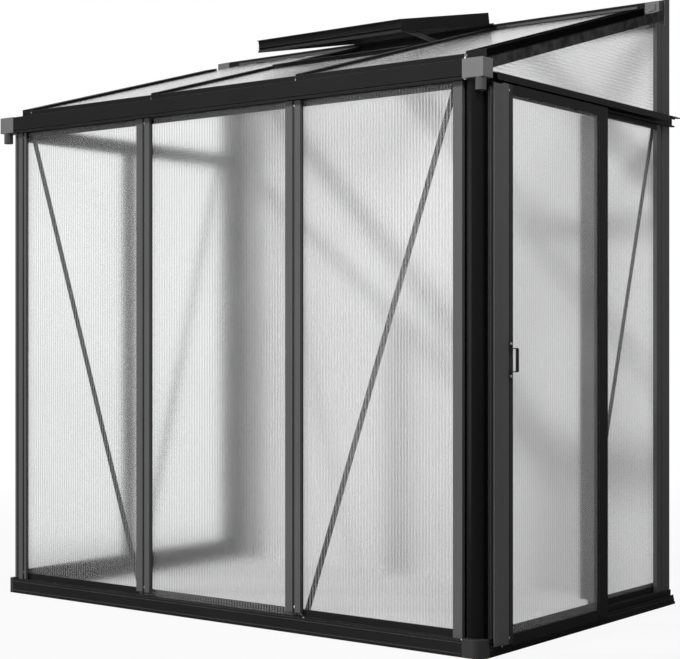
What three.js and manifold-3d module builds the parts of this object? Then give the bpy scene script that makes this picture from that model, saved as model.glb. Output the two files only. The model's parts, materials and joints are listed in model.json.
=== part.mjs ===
// Lean-to greenhouse with a sliding gable door and a roof vent, in millimetres, +Z up.
// While it is built, x runs along the front from the left gable's face to the right gable's face,
// y runs back from the front bars' face to the house wall, and z is the height above the ground.
import * as THREE from 'three';
import Module from 'manifold-3d';
import { mergeVertices } from 'three/addons/utils/BufferGeometryUtils.js';

const wasm = await Module();
wasm.setup();

// Overall sizes
const frontLength = 1857;
const depth = 1129;
const roofTopAtFront = 1621.3;
const roofSlope = THREE.MathUtils.degToRad(15.84);
const fit = 0.3;
const overrun = 6;

// Sheets and the walls of the extruded profiles
const sheetThickness = 6;
const skin = 2;

// Ground rails
const baseReach = 16.5;
const baseLeftReach = 18;
const baseWidth = 50;
const baseHeight = 46;
const baseLip = 12;
const frontUpstand = 20;
const frontBead = 21;
const sideUpstand = 29;
const sideBead = 19;
const sideReach = 4.5;
const guideHeight = 20;
const guideLip = 10;
const guideTailHeight = 9;
const guideTail = 6.5;
const leftCapLength = 25.5;
const rightCapLeg = 63;
const rightCapSide = 38;
const rightCapRadius = 31;
const capHeight = 50;
const capWall = 4;
const capBevel = 12;

// Glazing bars of the walls: a flat cap with a bolt groove, a stem and a flange behind the sheets
const capLeft = 27;
const capRight = 21;
const grooveWidth = 8.6;
const grooveDepth = 6;
const capDepth = 13;
const stemThickness = 3;
const stemDepth = 38;
const flangeHalf = 18;
const barFoot = 57.4;
const firstBarX = 604.5;
const bayPitch = 610;
const rightBarY = 640;
const leftBarY = 534;
const doorPostDepth = 47;
const doorPostHalf = 18;
const doorPostFace = 24;
const doorPostBack = 24;

// Corner posts
const roundRadius = 32;
const roundWidth = 42;
const roundRecessWidth = 14.6;
const roundRecessDepth = 12;
const cornerFlange = 29.6;
const arcSteps = 14;
const leftCornerLength = 54;
const leftCornerWall = 8;
const leftCornerLip = 5;
const edgeStripWidth = 8.5;
const edgeRecessWidth = 10;
const edgeRecessDepth = 4;
const edgeFaceWidth = 18;
const edgeGrooveWidth = 8;

// Posts against the house wall
const wallPostDepth = 89.5;
const wallPostWidth = 40;
const wallPostFlange = 29.5;
const wallPostRecess = 11;
const wallPostRecessDepth = 8;
const wallPostHead = 33;

// Gutter along the eaves
const gutterReach = 15.5;
const gutterBack = 33;
const gutterUnderside = 1546;
const gutterLip = 6.7;
const gutterGroove = 4.1;
const gutterGrooveDepth = 4;
const gutterFace = 43.2;
const gutterRear = 58;
const eavesDrop = 17;
const roofLedge = 18;
const blockHeight = 52;
const blockLift = 3;
const blockReach = 1;
const leftBlockLength = 64;
const leftBlockReach = 56.5;
const rightBlockLength = 66.4;
const rightBlockReach = 20.2;
const blockWall = 4;
const spoutRadius = 15;
const spoutBore = 12;
const spoutLength = 34;
const spoutSetBack = 15;
const rightSpoutInset = 16.2;
const leftSpoutInset = 24.5;
const roundSides = 24;

// Rails across the gables at eaves height
const gableRailHeight = 52;
const gableRailBottom = 1522;

// Roof bars and verges, measured square to the slope, down from the plane of their tops
const roofStart = 33.5;
const roofSheetStart = 28.5;
const roofBarWidth = 32;
const roofCapDepth = 8;
const roofStemDepth = 30;
const firstRoofBarX = 627.5;
const roofPitch = 589;
const leftVergeWidth = 53;
const rightVergeWidth = 66;
const vergeFace = 22;
const vergeSide = 54;
const vergeStep = 2;
const vergeShelf = 12;
const vergeCoverGap = 130;
const triangleTuck = 30;

// Ridge against the wall, with the vent's hinge bead
const ridgeWidth = 45.5;
const ridgeStep = 9.3;
const ridgeFrontHeight = 36;
const ridgeBackRise = 12;
const ridgeBackHeight = 88;
const ridgeLedge = 18;
const ridgeCapLeft = 58;
const ridgeCapRight = 49.5;
const ridgeCapInset = 14;
const ridgeBadge = 22;
const ridgeBadgeRelief = 2;
const hingeReach = 15;
const hingeDrop = 3.5;
const hingeBead = 3;
const hingePlay = 0.6;
const hookStart = THREE.MathUtils.degToRad(75);
const hookEnd = THREE.MathUtils.degToRad(290);
const hookSteps = 10;

// Roof vent
const ventOpenAtRest = THREE.MathUtils.degToRad(4.4);
const ventFromBar = 5;
const ventPastBar = 12;
const ventLength = 558;
const ventHeight = 42;
const ventUnder = 1;
const ventRail = 18;
const ventFin = 8;
const ventLowerTier = 15;
const ventBackLength = 28;
const sillFromHinge = 485.5;
const sillWidth = 26;
const sillRise = 5;
const stayPivot = 470;
const stayPivotLift = 8;
const stayAngle = THREE.MathUtils.degToRad(15.4);
const stayLength = 380;
const stayWidth = 14;
const stayThickness = 3;
const stayHole = 3.3;
const stayHoleInset = 20;
const stayHolePitch = 42;
const stayHoleCount = 4;
const stayInset = 40.5;
const pinRadius = 2.8;
const pinEnd = 3;
const pegDistance = 250;
const pegDrop = 25.5;
const pegClearance = 0.5;

// Flat diagonal braces behind the sheets
const braceWidth = 18;
const braceThickness = 3;
const braceEndInset = 10;
const braceHeadGap = 7;
const leftBraceHeadGap = 13;
const gableBraceSetBack = 39.5;
const braceFootGap = 33;
const rightBraceFoot = 290;

// Sliding door
const doorStart = 75;
const doorWidth = 588;
const doorThickness = 11;
const doorPlay = 1;
const doorBottom = 22;
const doorTop = 1541;
const stileFoot = 27;
const leadFace = 25.5;
const trailFace = 46;
const stileGroove = 7.5;
const leadLip = 15.5;
const stileGrooveDepth = 4.5;
const lipSetBack = 1.4;
const trailSeal = 7;
const trailGroove = 3;
const trailLap = 9;
const doorTopRail = 25;
const doorBottomRail = 30;
const doorTopFlange = 9;
const doorBottomFlange = 23;
const doorFlangeThickness = 1;
const jambStart = 26;
const jambGap = 0.7;
const jambFlange = 26;
const handleZ = 744;
const handleHeight = 102;
const handleFoot = 18;
const handleWidth = 12;
const handleThickness = 3;
const handleStandOff = 25.5;
const handleBend = 4;
const handleSteps = 4;

// Door track and rollers
const hoodStart = 45;
const hoodTop = 1569;
const hoodFall = 3;
const hoodReach = 29.5;
const hoodDrop = 22;
const hoodTail = 35.5;
const hoodSideEnd = 53;
const runnerTail = 14;
const runnerReach = 10.7;
const runnerBase = 1537;
const runnerLip = 2.5;
const rollerNeck = 6;
const rollerRadius = 7.5;
const rollerNeckWidth = 3;
const rollerFlange = 2;
const rollerInset = 110;
const axleRadius = 2.5;
const axleBore = 3;
const axleHead = 4.5;
const hangerWidth = 40;
const hangerThickness = 3;
const hangerTop = 6;
const skidDrop = 7;
const skidPlay = 1.5;

// Finishes
const frameColor = 0x1d1e20;
const barColor = 0x3c3d3f;
const plasticColor = 0x7c7d7e;
const sheetColor = 0xdfe3e4;
const steelColor = 0x8d9094;
const sheetOpacity = 0.6;

const coated = (color = frameColor) =>
  new THREE.MeshStandardMaterial({ color, roughness: 0.42, metalness: 0.35 });
const moulded = () =>
  new THREE.MeshStandardMaterial({ color: plasticColor, roughness: 0.55, metalness: 0 });
const steel = () =>
  new THREE.MeshStandardMaterial({ color: steelColor, roughness: 0.35, metalness: 0.9 });
const glazing = () => new THREE.MeshStandardMaterial({
  color: sheetColor, roughness: 0.3, metalness: 0, transparent: true, opacity: sheetOpacity,
});

// Depths shared by the walls, in from a wall's face: cap, sheet, flange, brace
const sheetFront = capDepth + fit;
const sheetBack = sheetFront + sheetThickness;
const flangeFront = sheetBack + fit;
const flangeBack = flangeFront + skin;
const braceFront = flangeBack + fit;
const braceBack = braceFront + braceThickness;

// Heights and places worked out from the sizes above
const sheetFoot = baseHeight + fit;
const barTop = gutterUnderside - fit;
const baseOuterRight = frontLength + baseReach;
const leftCapEnd = leftCapLength - baseLeftReach;
const rightCapStart = baseOuterRight - rightCapLeg;
const rightCapBack = rightCapSide - baseReach;
const cornerNear = roundWidth + roundRecessWidth;
const cornerFar = cornerNear + cornerFlange;
const gableRailTop = gableRailBottom + gableRailHeight;
const gableRailStem = gableRailBottom + gableRailHeight / 2;
const wallPostStart = depth - wallPostDepth;
const ridgeFront = depth - ridgeWidth;
const rise = Math.tan(roofSlope);
const steep = 1 / Math.cos(roofSlope);
const roofTop = (y) => roofTopAtFront + y * rise;
const roofSheetTop = -roofCapDepth - fit;
const roofSheetUnder = roofSheetTop - sheetThickness;
const roofFlange = roofSheetUnder - fit;
const wallPostTop = roofTop(wallPostStart) - vergeSide * steep - fit;
const ridgeFrontTop = roofTop(ridgeFront) + ridgeStep;
const ridgeBackTop = ridgeFrontTop + ridgeBackRise;
const ventLeft = firstRoofBarX + ventFromBar;
const ventWidth = roofPitch + ventPastBar - ventFromBar;
const stayX = ventLeft + ventWidth - stayInset;
const hingeY = ridgeFront - hingeReach;
const sillStart = hingeY - sillFromHinge;
const hingeHeight = ridgeFrontTop - hingeDrop;
const doorBack = baseOuterRight + doorPlay;
const doorFace = doorBack + doorThickness;
const doorEnd = doorStart + doorWidth;
const lipBack = doorFace - lipSetBack - skin;
const rollerX = frontLength + fit + runnerReach - skin / 2;
const rollerZ = runnerBase + skin + runnerLip + fit + rollerNeck;

const group = new THREE.Group();
const house = new THREE.Group();
group.add(house);

// The vent's pieces lie in a group at its hinge: y points up the slope, z square off the roof
const vent = new THREE.Group();
vent.position.set(0, hingeY, hingeHeight);
vent.rotation.x = roofSlope - ventOpenAtRest;
house.add(vent);

const axisX = new THREE.Vector3(1, 0, 0);
const axisY = new THREE.Vector3(0, 1, 0);
const axisZ = new THREE.Vector3(0, 0, 1);

// An outline pushed along an axis; its points are [y, z] along x, [x, z] along y, [x, y] along z
function run(points, axis, from, to, holes = []) {
  const shape = new THREE.Shape(points.map(([u, v]) => new THREE.Vector2(u, v)));
  shape.holes.push(...holes);
  const solid = new THREE.ExtrudeGeometry(shape, { depth: to - from, bevelEnabled: false });
  if (axis === 'x') {
    solid.applyMatrix4(new THREE.Matrix4().makeBasis(axisY, axisZ, axisX));
    solid.translate(from, 0, 0);
  } else if (axis === 'y') {
    solid.applyMatrix4(new THREE.Matrix4().makeBasis(axisX, axisZ, axisY.clone().negate()));
    solid.translate(0, to, 0);
  } else {
    solid.translate(0, 0, from);
  }
  return solid;
}

// An outline [x, height off the roof] pushed up the slope, with upright ends
function runUpRoof(points, from, to) {
  const solid = run(points.map(([x, n]) => [x, n * steep]), 'y', from, to);
  const slope = new THREE.Matrix4().makeShear(0, 0, 0, rise, 0, 0);
  solid.applyMatrix4(slope);
  solid.translate(0, 0, roofTopAtFront);
  return solid;
}

function block(x0, x1, y0, y1, z0, z1) {
  const solid = new THREE.BoxGeometry(x1 - x0, y1 - y0, z1 - z0);
  solid.translate((x0 + x1) / 2, (y0 + y1) / 2, (z0 + z1) / 2);
  return solid;
}

function rod(radius, axis, from, to, u, v) {
  const solid = new THREE.CylinderGeometry(radius, radius, to - from, roundSides);
  const middle = (from + to) / 2;
  if (axis === 'x') {
    solid.rotateZ(Math.PI / 2);
    solid.translate(middle, u, v);
  } else {
    solid.rotateX(Math.PI / 2);
    solid.translate(u, v, middle);
  }
  return solid;
}

// Joining and cutting
function toManifold(geometry) {
  const bare = geometry.clone();
  bare.deleteAttribute('normal');
  bare.deleteAttribute('uv');
  const merged = mergeVertices(bare);
  return new wasm.Manifold(new wasm.Mesh({
    numProp: 3,
    vertProperties: new Float32Array(merged.attributes.position.array),
    triVerts: new Uint32Array(merged.index.array),
  }));
}

function toGeometry(solid) {
  const mesh = solid.getMesh();
  const geometry = new THREE.BufferGeometry();
  geometry.setAttribute('position', new THREE.BufferAttribute(new Float32Array(mesh.vertProperties), 3));
  geometry.setIndex(new THREE.BufferAttribute(new Uint32Array(mesh.triVerts), 1));
  const flat = geometry.toNonIndexed();
  flat.computeVertexNormals();
  return flat;
}

function joined(...geometries) {
  return toGeometry(geometries.map(toManifold).reduce((whole, next) => whole.add(next)));
}

function cut(geometry, ...tools) {
  const solids = tools.map(toManifold);
  return toGeometry(solids.reduce((whole, tool) => whole.subtract(tool), toManifold(geometry)));
}

function piece(name, geometry, material, parent = house) {
  const mesh = new THREE.Mesh(geometry, material);
  mesh.name = name;
  parent.add(mesh);
  return mesh;
}

const swapped = (points) => points.map(([u, v]) => [v, u]).reverse();
const shifted = (points, du, dv) => points.map(([u, v]) => [u + du, v + dv]);
const mirrored = (points, about) => points.map(([u, v]) => [2 * about - u, v]).reverse();
const fromRight = (points) => mirrored(points, frontLength / 2);

// Section of a wall's bar: u along the wall from its stem, v in from the wall's face
function barSection(left, right, groove) {
  const half = groove / 2;
  const stem = stemThickness / 2;
  const seat = groove > 0 ? grooveDepth + skin : skin;
  const grooved = [[-half, 0], [-half, grooveDepth], [half, grooveDepth], [half, 0]];
  const front = groove > 0 ? grooved : [];
  const inside = half + skin;
  const rightInside = groove > 0 ? [[inside, skin], [inside, seat]] : [];
  const leftInside = groove > 0 ? [[-inside, seat], [-inside, skin]] : [];
  return [
    [-left - half, 0], ...front, [right + half, 0], [right + half, capDepth],
    [right + half - skin, capDepth], [right + half - skin, skin], ...rightInside,
    [stem, seat], [stem, flangeFront], [flangeHalf, flangeFront], [flangeHalf, flangeBack],
    [stem, flangeBack], [stem, stemDepth], [-stem, stemDepth], [-stem, flangeBack],
    [-flangeHalf, flangeBack], [-flangeHalf, flangeFront], [-stem, flangeFront], [-stem, seat],
    ...leftInside, [skin - left - half, skin], [skin - left - half, capDepth],
    [-left - half, capDepth],
  ];
}

const wallBar = barSection(capLeft, capRight, grooveWidth);

// Ground rails: an open section with inturned feet
function railSection(outer) {
  const back = outer + baseWidth;
  return [
    [outer, 0], [outer + baseLip, 0], [outer + baseLip, skin], [outer + skin, skin],
    [outer + skin, baseHeight - skin], [back - skin, baseHeight - skin], [back - skin, skin],
    [back - baseLip, skin], [back - baseLip, 0], [back, 0], [back, baseHeight],
    [outer, baseHeight],
  ];
}

// Strips that stand on a rail, before and behind the sheets
function strip(axis, face, inward, from, to, height, behind) {
  const near = face + inward * (behind ? flangeFront : capDepth - skin);
  const far = face + inward * (behind ? flangeBack : capDepth);
  const low = Math.min(near, far);
  const high = Math.max(near, far);
  const foot = baseHeight - skin;
  const top = baseHeight + height;
  return axis === 'x' ? block(from, to, low, high, foot, top) : block(low, high, from, to, foot, top);
}

function makeFrontRail() {
  const start = leftCapEnd + fit;
  const end = rightCapStart - fit;
  const firstLeft = firstBarX - grooveWidth / 2 - capLeft - fit;
  const lastRight = firstBarX + bayPitch + grooveWidth / 2 + capRight + fit;
  piece('base_front', joined(
    run(railSection(-baseReach), 'x', start, end),
    strip('x', 0, 1, leftCornerWall + fit, end, frontUpstand, true),
    strip('x', 0, 1, leftCornerLength + fit, firstLeft, frontBead, false),
    strip('x', 0, 1, lastRight, frontLength - cornerFar - fit, frontBead, false),
  ), coated());
}

function makeSideRails() {
  const leftStart = baseWidth - baseReach + fit;
  const postFront = wallPostStart - fit;
  const leftBarFront = leftBarY - grooveWidth / 2 - capLeft - fit;
  const leftBarBack = leftBarY + grooveWidth / 2 + capRight + fit;
  piece('base_left', joined(
    run(railSection(-baseLeftReach), 'y', leftStart, depth),
    strip('y', 0, 1, leftStart, depth, sideUpstand, true),
    strip('y', 0, 1, leftCornerLength + fit, leftBarFront, sideBead, false),
    strip('y', 0, 1, leftBarBack, postFront, sideBead, false),
  ), coated());

  // The right rail carries the door's guide on its outer face, and has no upstand in the doorway
  const start = rightCapBack + fit;
  const outer = frontLength + sideReach;
  const guideOuter = baseOuterRight - skin;
  const guideTop = guideHeight + guideLip;
  const guide = [
    [outer - skin, 0], [baseOuterRight, 0], [baseOuterRight, guideHeight], [guideOuter, guideHeight],
    [guideOuter, guideTop], [guideOuter - skin, guideTop], [guideOuter - skin, guideHeight - skin],
    [guideOuter, guideHeight - skin], [guideOuter, skin], [outer - skin, skin],
  ];
  const tail = [
    [outer - skin, 0], [baseOuterRight, 0], [baseOuterRight, guideTailHeight],
    [guideOuter, guideTailHeight], [guideOuter, skin], [outer - skin, skin],
  ];
  const barBack = rightBarY + grooveWidth / 2 + capRight + fit;
  piece('base_right', joined(
    run(mirrored(railSection(-sideReach), frontLength / 2), 'y', start, depth),
    run(guide, 'y', start, depth),
    run(tail, 'y', depth - overrun, depth + guideTail),
    strip('y', frontLength, -1, rightBarY - flangeHalf, depth, sideUpstand, true),
    strip('y', frontLength, -1, barBack, postFront, sideBead, false),
  ), coated());
}

// Moulded caps on the two front corners of the base, hollow from below
function makeBaseCaps() {
  const left = -baseLeftReach;
  const back = baseWidth - baseReach;
  const front = -baseReach;
  const bevelDrop = capHeight - capBevel;
  const leftPlan = [
    [left + capBevel, front], [leftCapEnd, front], [leftCapEnd, back], [left, back],
    [left, front + capBevel],
  ];
  const bevel = [
    [left, bevelDrop], [left + capBevel, capHeight], [left + capBevel, capHeight + overrun],
    [left - overrun, capHeight + overrun], [left - overrun, bevelDrop],
  ];
  piece('base_cap_left', cut(
    run(leftPlan, 'z', 0, capHeight),
    run(bevel, 'y', front - overrun, back + overrun),
    block(
      left + capWall, leftCapEnd - capWall, front + capWall, back - capWall,
      -overrun, capHeight - capWall,
    ),
  ), moulded());

  const centre = [baseOuterRight - rightCapRadius, front + rightCapRadius];
  const corner = [];
  for (let i = 0; i <= arcSteps; i += 1) {
    const angle = (i / arcSteps - 1) * (Math.PI / 2);
    corner.push([
      centre[0] + rightCapRadius * Math.cos(angle), centre[1] + rightCapRadius * Math.sin(angle),
    ]);
  }
  const rightPlan = [
    [rightCapStart, front], ...corner, [baseOuterRight, rightCapBack], [rightCapStart, rightCapBack],
  ];
  const under = capHeight - capWall;
  piece('base_cap_right', cut(
    run(rightPlan, 'z', 0, capHeight),
    block(
      rightCapStart + capWall, centre[0], front + capWall, rightCapBack - capWall, -overrun, under,
    ),
  ), moulded());
}

// Cuts that let a bar's stem and flange stand between the base's upstand and a rail above
function standing(bar, axis, face, inward, at, footTop, headBottom, barDepth = stemDepth) {
  const reach = barDepth + overrun;
  const near = face + inward * sheetFront;
  const far = face + inward * reach;
  const low = Math.min(near, far);
  const high = Math.max(near, far);
  const side = doorPostBack + overrun;
  const cutter = (z0, z1, a, b) => (axis === 'x'
    ? block(at - side, at + side, a, b, z0, z1)
    : block(a, b, at - side, at + side, z0, z1));
  const headNear = face + inward * sheetBack;
  const headLow = Math.min(headNear, far);
  const headHigh = Math.max(headNear, far);
  return cut(
    bar,
    cutter(barFoot - overrun, footTop + fit, low, high),
    cutter(headBottom - fit, gableRailTop, headLow, headHigh),
  );
}

function makeFrontBars() {
  const footTop = baseHeight + frontUpstand;
  const headBottom = gutterUnderside - eavesDrop;
  for (let i = 0; i < 2; i += 1) {
    const x = firstBarX + i * bayPitch;
    const bar = run(shifted(wallBar, x, 0), 'z', barFoot, barTop);
    piece(`front_bar_${i + 1}`, standing(bar, 'x', 0, 1, x, footTop, headBottom), coated(barColor));
  }
}

function makeGableBars() {
  const footTop = baseHeight + sideUpstand;
  const top = gableRailBottom - fit;
  const left = shifted(swapped(wallBar), 0, leftBarY);
  piece('gable_bar_left', standing(
    run(left, 'z', barFoot, top), 'y', 0, 1, leftBarY, footTop, gableRailTop,
  ), coated(barColor));

  // The right bar is also the post that the door laps when it is shut: a cap, a deep side and a back
  const half = stemThickness / 2;
  const post = [
    [-doorPostHalf, 0], [doorPostFace, 0], [doorPostFace, capDepth], [doorPostFace - skin, capDepth],
    [doorPostFace - skin, skin], [half, skin], [half, flangeFront], [flangeHalf, flangeFront],
    [flangeHalf, flangeBack], [half, flangeBack], [half, doorPostDepth], [-doorPostHalf, doorPostDepth],
    [-doorPostHalf, doorPostDepth - skin], [-half, doorPostDepth - skin], [-half, skin],
    [skin - doorPostHalf, skin], [skin - doorPostHalf, doorPostDepth - overrun],
    [-doorPostHalf, doorPostDepth - overrun],
  ];
  const right = fromRight(shifted(swapped(post), 0, rightBarY));
  piece('gable_bar_right', standing(
    run(right, 'z', barFoot, top), 'y', frontLength, -1, rightBarY, footTop, gableRailTop,
    doorPostDepth,
  ), coated(barColor));
}

// Left front corner post: two grooved faces at right angles
function makeLeftCorner() {
  const face = edgeStripWidth + edgeRecessWidth;
  const groove = face + edgeFaceWidth;
  const lip = groove + edgeGrooveWidth;
  const inner = leftCornerLength - skin;
  const side = [
    [edgeStripWidth, 0], [edgeStripWidth, edgeRecessDepth], [face, edgeRecessDepth], [face, 0],
    [groove, 0], [groove, grooveDepth], [lip, grooveDepth], [lip, 0], [leftCornerLength, 0],
    [leftCornerLength, leftCornerLip], [inner, leftCornerLip], [inner, leftCornerWall],
  ];
  const plan = [[0, 0], ...side, [leftCornerWall, leftCornerWall], ...swapped(side)];
  const foot = block(
    -overrun, leftCapEnd + fit, -overrun, baseWidth - baseReach + fit, 0, capHeight + fit,
  );
  piece('corner_post_left', cut(run(plan, 'z', sheetFoot, barTop), foot), coated(barColor));
}

// Right front corner post: a rounded corner standing between two flat flanges
function makeRightCorner() {
  const r = roundRadius;
  const floor = roundRecessDepth;
  const inside = roundWidth - skin;
  const bulge = (radius, edge) => {
    const past = Math.asin((edge - r) / radius);
    const points = [];
    for (let i = 0; i <= arcSteps; i += 1) {
      const angle = past - ((Math.PI / 2 + 2 * past) * i) / arcSteps;
      points.push([r + radius * Math.sin(angle), r - radius * Math.cos(angle)]);
    }
    return points;
  };
  const outer = bulge(r, roundWidth);
  const inner = bulge(r - skin, inside);
  const front = [
    [cornerFar, capDepth], [cornerFar, 0], [cornerNear, 0], [cornerNear, floor],
    [roundWidth, floor],
  ];
  const lining = [
    [inside, floor + skin], [cornerNear + skin, floor + skin], [cornerNear + skin, skin],
    [cornerFar - skin, skin], [cornerFar - skin, capDepth],
  ];
  const plan = [
    ...front, ...outer, ...swapped(front), ...swapped(lining), ...inner.reverse(), ...lining,
  ];
  const foot = block(
    rightCapStart - fit, baseOuterRight, -baseReach, rightCapBack + fit, 0, capHeight + fit,
  );
  piece('corner_post_right', cut(
    run(fromRight(plan), 'z', sheetFoot, barTop), foot,
  ), coated(barColor));
}

// Posts against the house wall
function makeWallPosts() {
  const flange = wallPostFlange;
  const face = flange + wallPostRecess;
  const end = wallPostDepth;
  const floor = wallPostRecessDepth;
  const section = [
    [capDepth, 0], [0, 0], [0, flange], [floor, flange], [floor, face], [0, face], [0, end],
    [wallPostWidth, end], [wallPostWidth, end - skin], [skin, end - skin], [skin, face + skin],
    [floor + skin, face + skin], [floor + skin, flange - skin], [skin, flange - skin],
    [skin, skin], [capDepth, skin],
  ].reverse();
  const left = shifted(section, 0, wallPostStart);
  const upstandSlot = (wall, inward) => {
    const near = wall + inward * sheetBack;
    const far = wall + inward * (wallPostWidth + overrun);
    return block(
      Math.min(near, far), Math.max(near, far), wallPostStart - overrun, depth + overrun,
      0, baseHeight + sideUpstand + fit,
    );
  };
  piece('wall_post_left', cut(
    run(left, 'z', sheetFoot, wallPostTop), upstandSlot(0, 1),
  ), coated(barColor));
  // The right post runs on up beside the ridge, as an angle
  const head = [
    [0, depth - wallPostHead], [0, depth], [ridgeCapInset - fit, depth], [ridgeCapInset - fit, depth - skin],
    [skin, depth - skin], [skin, depth - wallPostHead],
  ].reverse();
  piece('wall_post_right', cut(
    joined(
      run(fromRight(left), 'z', sheetFoot, wallPostTop),
      run(fromRight(head), 'z', wallPostTop - overrun, ridgeBackTop),
    ),
    upstandSlot(frontLength, -1),
  ), coated(barColor));
}

// Rails across the gables: a bar lying on its side, stopped above the corner post's head
function makeGableRails() {
  const half = gableRailHeight / 2;
  const section = shifted(swapped(barSection(half, half, 0)), 0, gableRailStem);
  const start = gutterBack + fit;
  const end = wallPostStart - fit;
  const head = (x0, x1, postEnd) =>
    block(x0, x1, start - overrun, postEnd + fit, gableRailBottom - overrun, gutterUnderside);
  piece('gable_rail_left', cut(
    run(section, 'y', start, end),
    head(-overrun, stemDepth + overrun, leftCornerLength),
  ), coated());
  piece('gable_rail_right', cut(
    run(fromRight(section), 'y', start, end),
    head(frontLength - stemDepth - overrun, frontLength + overrun, cornerFar),
  ), coated());
}

// Gutter: lip, shadow groove and face in front, the channel, and the flange behind the sheets
function makeGutter() {
  const front = -gutterReach;
  const under = gutterUnderside;
  const lip = under + gutterLip;
  const grooveTop = lip + gutterGroove;
  const grooveBack = front + gutterGrooveDepth;
  const floor = grooveTop + skin;
  const faceTop = grooveTop + gutterFace;
  const rearTop = under + gutterRear;
  const ledgeTop = roofTop(roofStart) - roofStemDepth * steep - fit;
  const inner = front + skin;
  const section = [
    [front, under], [flangeBack, under], [flangeBack, under + skin], [inner, under + skin],
    [inner, lip - skin], [grooveBack + skin, lip - skin], [grooveBack + skin, grooveTop],
    [gutterBack, grooveTop], [gutterBack, ledgeTop - skin],
    [gutterBack + roofLedge, ledgeTop - skin], [gutterBack + roofLedge, ledgeTop],
    [gutterBack, ledgeTop], [gutterBack, rearTop], [gutterBack - skin, rearTop],
    [gutterBack - skin, floor], [inner, floor], [inner, faceTop], [front, faceTop],
    [front, grooveTop], [grooveBack, grooveTop], [grooveBack, lip], [front, lip],
  ];
  const start = leftBlockLength - leftBlockReach + fit;
  const end = frontLength + rightBlockReach - rightBlockLength - fit;
  const flange = block(
    leftCornerWall + fit, end, flangeFront, flangeBack, under - eavesDrop, under + skin,
  );
  piece('gutter', joined(run(section, 'x', start, end), flange), coated());
  makeGutterEnd('gutter_end_left', -leftBlockReach, start - fit, leftSpoutInset - leftBlockReach, floor);
  makeGutterEnd(
    'gutter_end_right', end + fit, frontLength + rightBlockReach,
    frontLength + rightBlockReach - rightSpoutInset, floor,
  );
}

// Moulded gutter end: a box open above and towards the gutter, drained by a round spout
function makeGutterEnd(name, from, to, spoutX, floor) {
  const front = -gutterReach - blockReach;
  const bottom = gutterUnderside + blockLift;
  const top = bottom + blockHeight;
  const atRight = from > 0;
  const openFrom = atRight ? from - overrun : from + blockWall;
  const openTo = atRight ? to - blockWall : to + overrun;
  const spoutY = front + spoutSetBack;
  const spout = rod(spoutRadius, 'z', bottom - spoutLength, floor, spoutX, spoutY);
  const bore = rod(
    spoutBore, 'z', bottom - spoutLength - overrun, floor + overrun, spoutX, spoutY,
  );
  const near = front + blockWall;
  const far = gutterBack - blockWall;
  const hollow = block(openFrom, openTo, near, far, floor, top + overrun);
  const inside = block(from + blockWall, to - blockWall, near, far, floor - skin, floor + skin);
  piece(name, cut(
    joined(block(from, to, front, gutterBack, bottom, top), spout), hollow, inside, bore,
  ), moulded());
}

// Roof bars between the verges
function makeRoofBars() {
  const half = roofBarWidth / 2;
  const stem = stemThickness / 2;
  const flange = roofFlange - skin;
  const section = [
    [-half, 0], [-half, -roofCapDepth], [skin - half, -roofCapDepth], [skin - half, -skin],
    [-stem, -skin], [-stem, roofFlange], [-flangeHalf, roofFlange], [-flangeHalf, flange],
    [-stem, flange], [-stem, -roofStemDepth], [stem, -roofStemDepth], [stem, flange],
    [flangeHalf, flange], [flangeHalf, roofFlange], [stem, roofFlange], [stem, -skin],
    [half - skin, -skin], [half - skin, -roofCapDepth], [half, -roofCapDepth], [half, 0],
  ];
  const bars = [0, 1].map((i) => {
    const x = firstRoofBarX + i * roofPitch;
    return runUpRoof(shifted(section, x, 0), roofStart, ridgeFront - fit);
  });
  const hingeLift = (hingeHeight - roofTop(hingeY)) / steep;
  const pegY = hingeY - pegDistance / steep + (pegDrop + hingeLift) * Math.sin(roofSlope);
  const pegZ = roofTop(pegY) - pegDrop * steep;
  const pegEnd = stayX + stayThickness / 2 + pegClearance;
  const peg = rod(pinRadius, 'x', pegEnd, firstRoofBarX + roofPitch, pegY, pegZ);
  piece('roof_bar_1', bars[0], coated());
  piece('roof_bar_2', joined(bars[1], peg), coated());
}

// Outer roof bars, whose sides cover the tops of the gables' triangles
function makeVerges() {
  const section = (width) => {
    const web = width - vergeShelf;
    const step = vergeStep;
    const flange = roofFlange - skin;
    return [
      [0, 0], [0, -vergeFace], [step, -vergeFace], [step, -vergeSide], [capDepth, -vergeSide],
      [capDepth, skin - vergeSide], [step + skin, skin - vergeSide],
      [step + skin, skin - vergeFace], [skin, skin - vergeFace], [skin, -skin], [web, -skin],
      [web, flange], [width, flange], [width, roofFlange], [web + skin, roofFlange],
      [web + skin, -skin], [width - skin, -skin], [width - skin, -roofCapDepth],
      [width, -roofCapDepth], [width, 0],
    ];
  };
  const end = ridgeFront - fit;
  const cover = (width) => [
    [-overrun, -vergeFace], [width + overrun, -vergeFace], [width + overrun, overrun],
    [-overrun, overrun],
  ];
  const coverEnd = ridgeFront - vergeCoverGap;
  piece('verge_left', cut(
    runUpRoof(section(leftVergeWidth), roofStart, end),
    runUpRoof(cover(leftVergeWidth), coverEnd, ridgeFront),
  ), coated());
  piece('verge_right', cut(
    runUpRoof(fromRight(section(rightVergeWidth)), roofStart, end),
    runUpRoof(fromRight(cover(rightVergeWidth)), coverEnd, ridgeFront),
  ), coated());
}

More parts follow.
